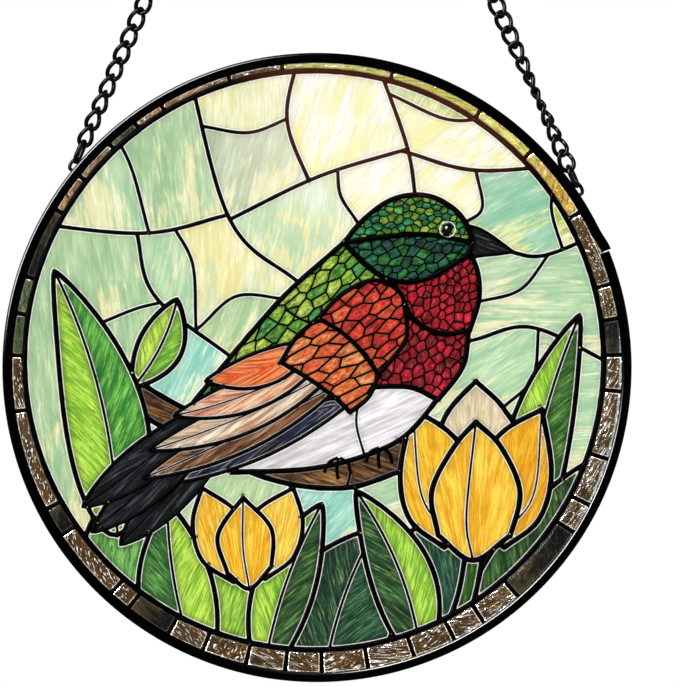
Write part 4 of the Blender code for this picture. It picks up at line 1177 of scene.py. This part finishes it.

# radii of the ring's section, half its depth and half its slot, and how round its corners are; where its seam
# is, in degrees, how wide, and how far and for how many degrees one end stands proud; the arcs with a painted
# sheen, a clear coat only where the lights' highlights fall, each by its corner of the section, its angles,
# and the shine round that corner
ring = {
    "outer": 100.0, "lip": 96.8, "floor": 98.8, "half": 3.0, "slot": 1.8, "round": 0.95, "lipRound": 0.2,
    "slotRound": 0.15, "seam": 21.9, "gap": 0.35, "proud": 0.8, "proudFor": 4.4, "stations": 300,
    "polished": [(7, (-108, -80, -22, 4), (1, 1, 1, 1, 0.9, 0.5, 0)),
                 (0, (88, 118, 165, 179), (0, 0.4, 0.7, 1, 1, 1, 1))],
}
border = {
    "bars": (177.7, 169.7, 162.6, 148.8, 141.1, 132.9, 126.7, 120.7, 106.9, 96.6, 75.6, 57.6, 45.3, 30.6,
             15.9, 9.3, 2.4, -4.5, -17.5, -26.8, -32.7, -48.7, -56.8, -63.2, -71.4, -80.3, -89.1, -96.0,
             -103.5, -112.0, -119.2, -128.1, -132.4, -146.7, -152.4, -171.7),  # their angles
    "barHalf": 0.68, "barRise": 0.36, "middle": 95.0, "outer": 98.3, "front": 1.28,
    "gap": 0.12, "grid": 0.42, "rows": 14,  # between a tile and its bars' middle lines, and the tile's mesh
    "pillow": 0.34, "ridge": 0.26, "grain": 0.10, "dimple": 1.9,  # a tile's relief, and a hammer mark's size
    "cement": (-40.0, -28.0, 2.0, 12.0), "cementWidth": 0.62,  # its arc, which fades out at both ends
}
# share of dots among the glints, by angle
dottedShare = (
    (-180, -118, -112, -62, -45, -10, 20, 120, 160, 180),
    (0.95, 0.95, 0.1, 0.1, 0.45, 0.25, 0.5, 0.0, 0.4, 0.95),
)
# tiles that aren't brown: from this angle up to that one
tileColours = [
    (169.7, 177.7, "moss"), (162.6, 169.7, "moss"), (148.8, 162.6, "dark"), (132.9, 148.8, "amber"),
    (126.7, 132.9, "moss"), (106.9, 126.7, "amber"), (45.3, 96.6, "lime"), (30.6, 45.3, "gold"),
    (2.4, 9.3, "dark"), (-48.7, -32.7, "dark"), (-128.1, -119.2, "dark"), (-152.4, -146.7, "dark"),
]
# deep tint, pale tint and how much painted glint it has
borderTints = {
    "brown": ("#38250a", "#705024", 1.0),
    "dark": ("#020201", "#4c4228", 0.06),
    "moss": ("#1c2c16", "#86a05c", 0.25),
    "amber": ("#4f3214", "#d09c5c", 1.0),
    "lime": ("#d2c63a", "#fbf7a6", 0.6),
    "gold": ("#c99a1c", "#f8e67a", 0.8),
}


# how far from the disc's centre the border starts: where a ray at this angle leaves the picture's lead
# circle, whose own centre is a little off
def borderStart(turn):
    offX, offZ = pictureX + picture["rimShift"][0], pictureZ + picture["rimShift"][1] - discZ
    reach = picture["rim"] + picture["rimHalf"]
    towards = offX * np.cos(turn) + offZ * np.sin(turn)
    return towards + np.sqrt(reach**2 - offX**2 - offZ**2 + towards**2)


# hammered relief: ridges where two dimples meet, as the gap between the nearest and the next nearest dimple
def dimples(x, z, cell, seed):
    jitter = np.random.default_rng(seed).uniform(0.1, 0.9, (256, 256, 2))
    i, j = np.floor(x / cell).astype(int), np.floor(z / cell).astype(int)
    nearest = np.full((3, *x.shape), 9.0)
    for di in (-1, 0, 1):
        for dj in (-1, 0, 1):
            spot = jitter[(i + di) % 256, (j + dj) % 256]
            nearest[2] = np.hypot(x / cell - i - di - spot[..., 0], z / cell - j - dj - spot[..., 1])
            nearest.sort(axis=0)
    return np.clip(1 - (nearest[1] - nearest[0]) * 1.6, 0, 1)


# one tile: a polar grid in front, the same behind and a wall round it; it swells from its edges, with
# hammered ridges on top, and its grain is turned a little from tile to tile
def tileBlock(low, high, colour, seed):
    middle, rows = border["middle"], border["rows"]
    inset = border["gap"] / middle
    columns = max(4, int(math.radians(high - low) * middle / border["grid"]))
    turn = np.linspace(math.radians(low) + inset, math.radians(high) - inset, columns)[None]
    start = borderStart(turn) + 0.05
    radius = start + (border["outer"] - start) * np.linspace(0, 1, rows)[:, None]
    arc = np.minimum(turn - turn[0, 0], turn[0, -1] - turn) * middle
    edge = np.minimum(arc, radius - start)
    ridge = dimples(radius * turn + 300, radius * 1.35 + 0 * turn, border["dimple"], seed)
    small = latticeNoise(radius * turn, radius + 0 * turn, 0.8, seed + 1)
    rough = (0.25 if colour == "dark" else 1.0) * (border["ridge"] * ridge + border["grain"] * small)
    lift = border["pillow"] * np.clip(edge / 1.3, 0, 1) ** 0.6 + rough * np.clip(edge / 0.5, 0, 1)
    x, z = radius * np.cos(turn), radius * np.sin(turn) + discZ
    front = np.stack([x, -border["front"] - lift + 0.2, z], axis=2).reshape(-1, 3)
    back = np.stack([x, border["front"] + lift * 0.6 - 0.1, z], axis=2).reshape(-1, 3)
    size = rows * columns
    grid = gridFaces(rows, columns)
    lastRow, lastColumn = (rows - 1) * columns, columns - 1
    loop = np.concatenate([np.arange(columns), columns * np.arange(1, rows) + lastColumn,
                           lastRow + np.arange(columns - 2, -1, -1), columns * np.arange(rows - 2, 0, -1)])
    following = np.roll(loop, -1)
    walls = np.stack([loop, following, following + size, loop + size], axis=1)
    points, faces = np.vstack([front, back]), np.vstack([grid[:, ::-1], grid + size, walls])

    turned = np.random.default_rng(seed).choice([-1, 1]) * np.random.default_rng(seed + 9).uniform(0.1, 0.6)
    across, along = radius + 0 * turn, radius * turn
    grain = np.stack([along * math.cos(turned) + across * math.sin(turned),
                      across * math.cos(turned) - along * math.sin(turned),
                      np.full_like(across, seed * 3.7)], axis=2)
    # cement shows in a strip along the lip
    degrees = np.degrees((turn + math.pi) % (2 * math.pi) - math.pi)
    strip = np.interp(degrees, border["cement"], (-0.8, 1, 1, -0.8))
    # tiles pale towards one end, and dark ones the most
    lit = (-0.5 if colour == "dark" else 0.1) * (2 * (turn - turn[0, 0]) / np.ptp(turn) - 1)
    values = {"edge": np.minimum(np.minimum(arc - 0.55, radius - start), ring["lip"] - radius),
              "cement": ring["lip"] - radius - border["cementWidth"] * strip, "lit": lit + 0 * radius}
    values = {name: np.concatenate([value.ravel()] * 2) for name, value in values.items()}
    return points, turnedOut(points, faces), values, np.vstack([grain.reshape(-1, 3)] * 2)


# the tiles from bar to bar, each a little lighter or darker than its colour
def makeTiles():
    blocks, measures, grains = [], [], []
    angles = sorted(border["bars"])
    for index, (low, high) in enumerate(zip(angles, [*angles[1:], angles[0] + 360])):
        middle = (low + high) / 2
        colour = next((c for a, b, c in tileColours if a <= middle <= b), "brown")
        points, faces, measured, grain = tileBlock(low, high, colour, index)
        light = 1 + np.random.default_rng(index).uniform(-0.2, 0.2)
        deep, pale, sparkle = borderTints[colour]
        measured["sparkle"] = np.full(len(points), sparkle)
        measured["dotted"] = np.full(len(points), np.interp((middle + 180) % 360 - 180, *dottedShare))
        measured["deepTint"] = np.tile(tint(deep) * light, (len(points), 1))
        measured["paleTint"] = np.tile(tint(pale) * light, (len(points), 1))
        blocks.append((points, faces))
        measures.append(measured)
        grains.append(grain)
    points, faces = joinBlocks(blocks)
    tiles = makePiece("border_tiles", points, faces, borderGlass, ["border_ring"], "border_glass", 50)
    addAttribute(tiles, "grain", "FLOAT_VECTOR", np.vstack(grains))
    for label in measures[0]:
        addValues(tiles, {label: np.concatenate([measured[label] for measured in measures])})
    print("tiles made,", len(angles))


# the bars between tiles: short beads towards the disc's centre, with solder where they meet the circle
def makeBars():
    blocks, joints = [], []
    for index, angle in enumerate(border["bars"]):
        turn = math.radians(angle)
        first, last = float(borderStart(turn)) - 0.4, border["outer"] - 0.4
        radius = np.linspace(first, last, max(3, int((last - first) / 0.7)))
        path = np.stack([radius * math.cos(turn), radius * math.sin(turn)], axis=1)
        blocks.append(beadBlock(path, border["barHalf"], border["barRise"], False, index + 300))
        joints.append((*path[0], border["barHalf"]))
    points, faces = joinBlocks(blocks)
    makePiece("border_bars", points + [0, 0, discZ], faces, leadMetal, (), "lead", 60)
    points, faces = solderBlock(joints, solder["borderSwell"], solder["borderLift"], 9)
    makePiece("border_solder", points + [0, 0, discZ], [faces], solderMetal, (), "lead", 60, True)
    print("bars made,", len(blocks))


makeTiles()
makeBars()


# a section with rounded corners: each becomes a quarter turn between points set back along its two sides
def roundedSection(corners, radii, steps):
    corners = np.array(corners, float)
    before, after = unit(np.roll(corners, 1, axis=0) - corners), unit(np.roll(corners, -1, axis=0) - corners)
    turn = np.linspace(0, math.pi / 2, steps)[None, :, None]
    bent = before[:, None] * (1 - np.sin(turn)) + after[:, None] * (1 - np.cos(turn))
    return (corners[:, None] + np.array(radii)[:, None, None] * bent).reshape(-1, 2)


# the channel ring: its section carried round the disc from one side of the seam to the other, where it
# stands proud by a smooth step
def makeRing():
    outer, lip, floor, half, slot = (ring[k] for k in ("outer", "lip", "floor", "half", "slot"))
    steps = 7
    corners = [(outer, -half), (outer, half), (lip, half), (lip, slot), (floor, slot), (floor, -slot),
               (lip, -slot), (lip, -half)]
    kinds = ["round"] * 3 + ["lipRound", "slotRound", "slotRound", "lipRound", "round"]
    section = roundedSection(corners, [ring[kind] for kind in kinds], steps)
    gap = ring["gap"] / outer
    sweep = np.linspace(0, 2 * math.pi - gap, ring["stations"])
    turn = (math.radians(ring["seam"]) + gap / 2 + sweep)[:, None]
    fall = np.clip(1 - sweep / math.radians(ring["proudFor"]), 0, 1)
    radius = section[None, :, 0] + ring["proud"] * (fall * fall * (3 - 2 * fall))[:, None]
    x, z, y = radius * np.cos(turn), radius * np.sin(turn) + discZ, section[None, :, 1] + 0 * turn
    points = np.stack([x, y, z], axis=2).reshape(-1, 3)
    columns = len(section)
    # the ends: strips across the section from its outer side to its inner side
    k = np.arange(columns // 2 - 1)
    flip = columns // 2
    cap = np.stack([flip - 1 - k, flip - 2 - k, (flip + 1 + k) % columns, (flip + k) % columns], axis=1)
    faces = [gridFaces(len(sweep), columns, False, True), cap, cap[:, ::-1] + (len(sweep) - 1) * columns]
    faces = turnedOut(points, np.vstack(faces))
    piece = makePiece("channel_ring", points, [faces], enamel, ["frame_ring"], "black_metal", 50)
    degrees = (np.degrees(turn[:, 0]) + 180) % 360 - 180
    # painted sheen: a clear coat only on two arcs, where the lights' highlights fall in the square-on view
    shine = np.zeros((len(sweep), columns))
    for corner, arc, profile in ring["polished"]:
        lit = np.interp(degrees, arc, (0, 1, 1, 0))[:, None] * np.array(profile)
        shine[:, corner * steps:(corner + 1) * steps] = lit
    addAttribute(piece, "shine", "FLOAT", shine)
    print("ring made")


makeRing()

chain = {
    "eyelets": {"left": 140.0, "right": 34.5},  # their angles on the ring
    "eyeletHalf": 2.1, "eyeletHeight": 2.3, "eyeletWire": 0.6, "eyeletFoot": 0.25,  # foot: lift off the rim
    "linkWidth": 5.9, "wire": 0.72, "pitch": {"left": 5.68, "right": 5.4},
    "crownIn": 0.72, "reachIn": 3.82,  # how far the end links reach into the eyelets and the hanging ring
    "endLean": 75.0,  # the first link's lean; the others' go by their number
    "lean": {"left": ((1, 12, 33), (48, 12, -45)), "right": ((1, 5, 10, 36), (15, 88, 165, 210))},
    "ringRadius": 5.6, "ringWire": 0.9, "shine": 0.12,
}


# round wire along a line of points: a circle at each, square to the way the line runs there
def wireBlock(path, radius, isClosed, guide, sides=10):
    forward = wayAlong(path, isClosed)
    first = unit(guide - (guide * forward).sum(axis=1)[:, None] * forward)
    second = np.cross(forward, first)
    turn = np.linspace(0, 2 * math.pi, sides, endpoint=False)[:, None]
    points = path[:, None] + radius * (first[:, None] * np.cos(turn) + second[:, None] * np.sin(turn))
    faces = [gridFaces(len(path), sides, isClosed, True)]
    if not isClosed:
        k = np.arange(sides // 2 - 1)
        cap = np.stack([k, k + 1, sides - 2 - k, sides - 1 - k], axis=1)
        faces += [cap[:, ::-1], cap + (len(path) - 1) * sides]
    points = points.reshape(-1, 3)
    return points, turnedOut(points, np.vstack(faces))


# a piece of black wire, all of it with the chain's shine
def makeWire(name, blocks, node):
    points, faces = joinBlocks(blocks)
    piece = makePiece(name, points, faces, enamel, [node], "black_metal", 60)
    addAttribute(piece, "shine", "FLOAT", np.full(len(points), chain["shine"]))


# 1 or -1 by its sign, times its size to a power: a circle whose sides are drawn squarer
def squared(value, power):
    return np.sign(value) * abs(value) ** power


# an eyelet: wire in an arch that is square to the rim, with its feet in it
def makeEyelet(side, centre, out, rimward):
    bend = np.linspace(-0.12, math.pi + 0.12, 26)
    rise = squared(np.sin(bend), 0.7) * (chain["eyeletHeight"] - chain["eyeletFoot"] - chain["eyeletWire"])
    path = centre + out * (ring["outer"] + chain["eyeletFoot"] + rise)[:, None]
    path = path + rimward * (chain["eyeletHalf"] * np.cos(bend))[:, None]
    sideways = np.tile([0.0, 1, 0], (len(path), 1))
    makeWire(f"{side}_eyelet", [wireBlock(path, chain["eyeletWire"], False, sideways)], "eyelet_" + side)


# a run of chain in a straight line from its eyelet to the hanging ring: each link is an oval that leans by
# its number and is twisted by an eighth of a turn from its middle to its ends, and neighbours touch
def makeChain(side):
    turn = math.radians(chain["eyelets"][side])
    out = np.array([math.cos(turn), 0, math.sin(turn)])
    rimward = np.array([-math.sin(turn), 0, math.cos(turn)])
    upper = 1 if rimward[2] > 0 else -1
    centre = np.array([0, 0, discZ])
    lift = (chain["eyeletHeight"] - chain["eyeletWire"]) / 2
    first = centre + out * (ring["outer"] + lift) + rimward * upper * chain["crownIn"]
    hook = np.array([0, 0, -(chain["ringRadius"] - chain["ringWire"])])
    last = hook + (first - hook) / np.linalg.norm(first - hook) * chain["reachIn"]
    along = (last - first) / np.linalg.norm(last - first)
    across, depth = np.array([along[2], 0, -along[0]]), np.array([0, 1, 0])
    # a link is as long as the pitch and two wires
    half, halfWidth = chain["pitch"][side] / 2 + chain["wire"], chain["linkWidth"] / 2 - chain["wire"]
    length = np.linalg.norm(last - first) - 2 * half
    count = round(length / chain["pitch"][side]) + 1
    spin = np.random.default_rng(3 if side == "left" else 4)
    t = np.linspace(0, 2 * math.pi, 36, endpoint=False)
    reach, wide = squared(np.cos(t), 0.9), squared(np.sin(t), 0.85)
    blocks = []
    for number in range(count):
        atEnd = number in (0, count - 1)
        if atEnd:
            lean = chain["endLean"] if number == 0 else 90
        else:
            lean = np.interp(number, *chain["lean"][side]) + spin.uniform(-3, 3)
        twist = math.radians(lean) + (0 if atEnd else math.pi / 4) * reach
        middle = first + along * (half + number * length / (count - 1))
        sideways = across * np.cos(twist)[:, None] + depth * np.sin(twist)[:, None]
        path = middle + along * (half * reach)[:, None] + sideways * (halfWidth * wide)[:, None]
        blocks.append(wireBlock(path, chain["wire"], True, path - middle))
    makeWire(f"{side}_chain", blocks, "chain_" + side)
    makeEyelet(side, centre, out, rimward)
    return count


# the hanging ring: a circle of wire whose inner side bears on the hook at the origin
def makeHangingRing():
    turn = np.linspace(0, 2 * math.pi, 72, endpoint=False)
    circle = np.stack([np.cos(turn), 0 * turn, np.sin(turn)], axis=1) * chain["ringRadius"]
    circle[:, 2] -= chain["ringRadius"] - chain["ringWire"]
    sideways = np.tile([0.0, 1, 0], (len(turn), 1))
    makeWire("hanging_ring", [wireBlock(circle, chain["ringWire"], True, sideways, 16)], "hang_ring")


links = [makeChain(side) for side in chain["eyelets"]]
makeHangingRing()
print("chain made,", links, "links")

bird = {
    "eye": (43.0, 41.2, 2.35),  # its middle and its radius
    "ringHalf": 0.24, "ringRise": 0.6, "toeHalf": 0.55, "toeRise": 0.9,
    "toes": [[(8.2, -31.4), (5.2, -33.0), (3.8, -36.2)], [(8.4, -31.4), (7.8, -34.8), (8.2, -38.2)],
             [(8.8, -31.4), (11.4, -33.2), (12.2, -36.8)], [(21.2, -28.2), (18.2, -29.8), (17.0, -33.0)],
             [(21.4, -28.2), (21.0, -31.4), (21.4, -34.8)], [(21.8, -28.2), (24.4, -29.8), (25.4, -33.2)]],
}


# glossy black glass for the eye, with a painted highlight: a white dot on its upper side
def eyeGlass(s):
    place = s.objectPlace()
    x, z, radius = bird["eye"]
    # painted highlight: where the white dot sits
    dot = Vector(((x + pictureX - 0.2 * radius) * mm, -2.5 * mm, (z + pictureZ + 0.3 * radius) * mm))
    colour = s.blend(s.noise(place, 400.0, 2).band(0.3, 0.7), rgba("#010101"), rgba("#0a0604"))
    away = s.make("ShaderNodeVectorMath", {"operation": "DISTANCE"}, {0: place, 1: dot}, 1)
    return {"Base Color": s.blend(away.band(0.00055, 0.00035), colour, rgba("#ffffff")),
            "Roughness": s.noise(place, 900.0, 2) * 0.08 + 0.06, "Specular IOR Level": 0.06}


# pale glass of the ring round the eye
def eyeRing(s):
    place = s.objectPlace()
    colour = s.blend(s.noise(place, 500.0, 3).band(0.3, 0.7), rgba("#c9c7ba"), rgba("#fbfaf2"))
    return {"Base Color": colour, "Roughness": s.noise(place, 900.0, 2) * 0.1 + 0.2}


# the eye: a lens like the solder's, larger and smoother, with a thin bead round it
def makeEye():
    x, z, radius = bird["eye"]
    points, faces = solderBlock([(x, z, 1)], radius - 0.55, 2.62, 31, 15, 36)
    makePiece("eye_bead", placed(points), [faces], newMaterial("eyeGlass", eyeGlass), (), None, 60, True)
    turn = np.linspace(0, 2 * math.pi, 60, endpoint=False)
    path = np.stack([x + (radius + 0.1) * np.cos(turn), z + (radius + 0.1) * np.sin(turn)], axis=1)
    points, faces = beadBlock(path, bird["ringHalf"], bird["ringRise"], True, 12)
    makePiece("eye_ring", placed(points), [faces], newMaterial("eyeRingGlass", eyeRing), (), None, 60)


# the toes: short beads that bend over the branch
def makeToes():
    blocks = [beadBlock(smoothCurve(toe, 0.5), bird["toeHalf"], bird["toeRise"], False, 60 + number)
              for number, toe in enumerate(bird["toes"])]
    points, faces = joinBlocks(blocks)
    makePiece("toes", placed(points), faces, leadMetal, (), "lead", 60)


makeEye()
makeToes()
print("eye and toes made")

studio = {"floorDrop": 45.0, "floorRadius": 0.75, "floorSides": 96, "world": "#ffffff", "worldStrength": 1.0}
# soft boxes: name, where it stands from the disc's centre in metres, width and height, roll in degrees,
# power in watts, and whether it lights matt surfaces or only shines in glossy ones
softBoxes = [
    ("keyLight", (-0.72, -1.1, 0.72), (1.6, 0.4), 45.0, 150.0, False),
    ("sideLight", (-0.95, -0.25, 0.95), (1.8, 0.5), 45.0, 12.0, False),
    ("fillLight", (1.0, -1.2, 0.1), (0.4, 0.8), 0.0, 4.0, True),
]
# the camera looks square on from a long way off; the disc's centre sits left of the middle and a little low
view = {"distance": 2.2, "height": 218.5, "right": 7.16, "up": 7.63, "sensor": 36}


# matt floor, very pale, with a hardly seen mottle
def paleFloor(s):
    place = s.objectPlace()
    return {"Base Color": s.blend(s.noise(place, 6.0, 3), rgba("#e9e9e7"), rgba("#f3f3f1")),
            "Roughness": s.noise(place, 20.0, 2) * 0.1 + 0.8}


# the floor: one flat round face under the disc
def makeFloor():
    turn = np.linspace(0, 2 * math.pi, studio["floorSides"], endpoint=False)
    level = (discZ - ring["outer"] - studio["floorDrop"]) * mm
    points = np.stack([np.cos(turn) * studio["floorRadius"], np.sin(turn) * studio["floorRadius"],
                       np.full(len(turn), level)], axis=1)
    mesh = bpy.data.meshes.new("floor")
    mesh.from_pydata(points.tolist(), [], [list(range(len(turn)))])
    mesh.materials.append(newMaterial("paleFloor", paleFloor))
    floor = bpy.data.objects.new("floor", mesh)
    bpy.context.scene.collection.objects.link(floor)


# an even world all round
def makeWorld():
    world = bpy.data.worlds.new("studio")
    world.use_nodes = True
    background = world.node_tree.nodes["Background"]
    background.inputs["Color"].default_value = rgba(studio["world"])
    background.inputs["Strength"].default_value = studio["worldStrength"]
    bpy.context.scene.world = world


# a soft box: its back is away from the disc's centre, and its width is turned by the roll
def makeSoftBox(name, place, size, roll, power, isMatt):
    light = bpy.data.lights.new(name, "AREA")
    light.shape = "RECTANGLE"
    light.size, light.size_y = size
    light.energy = power
    lamp = bpy.data.objects.new(name, light)
    lamp.location = (place[0], place[1], place[2] + discZ * mm)
    back = np.array(place) / np.linalg.norm(place)
    wide = np.array([math.cos(math.radians(roll)), 0, math.sin(math.radians(roll))])
    wide = wide - back * (wide @ back)
    wide /= np.linalg.norm(wide)
    lamp.rotation_euler = Matrix(np.stack([wide, np.cross(back, wide), back], axis=1).tolist()).to_euler()
    lamp.visible_diffuse = isMatt
    bpy.context.scene.collection.objects.link(lamp)


# the camera, with a lens that shows the view's height at the view's distance
def makeCamera():
    lens = bpy.data.cameras.new("camera")
    lens.sensor_width = view["sensor"]
    lens.lens = lens.sensor_width * view["distance"] / (view["height"] * mm)
    lens.clip_end = 50
    camera = bpy.data.objects.new("camera", lens)
    camera.location = (view["right"] * mm, -view["distance"], (discZ + view["up"]) * mm)
    camera.rotation_euler = (math.pi / 2, 0, 0)
    bpy.context.scene.collection.objects.link(camera)
    bpy.context.scene.camera = camera


makeFloor()
makeWorld()
for softBox in softBoxes:
    makeSoftBox(*softBox)
makeCamera()
bpy.context.scene.view_settings.view_transform = "Standard"
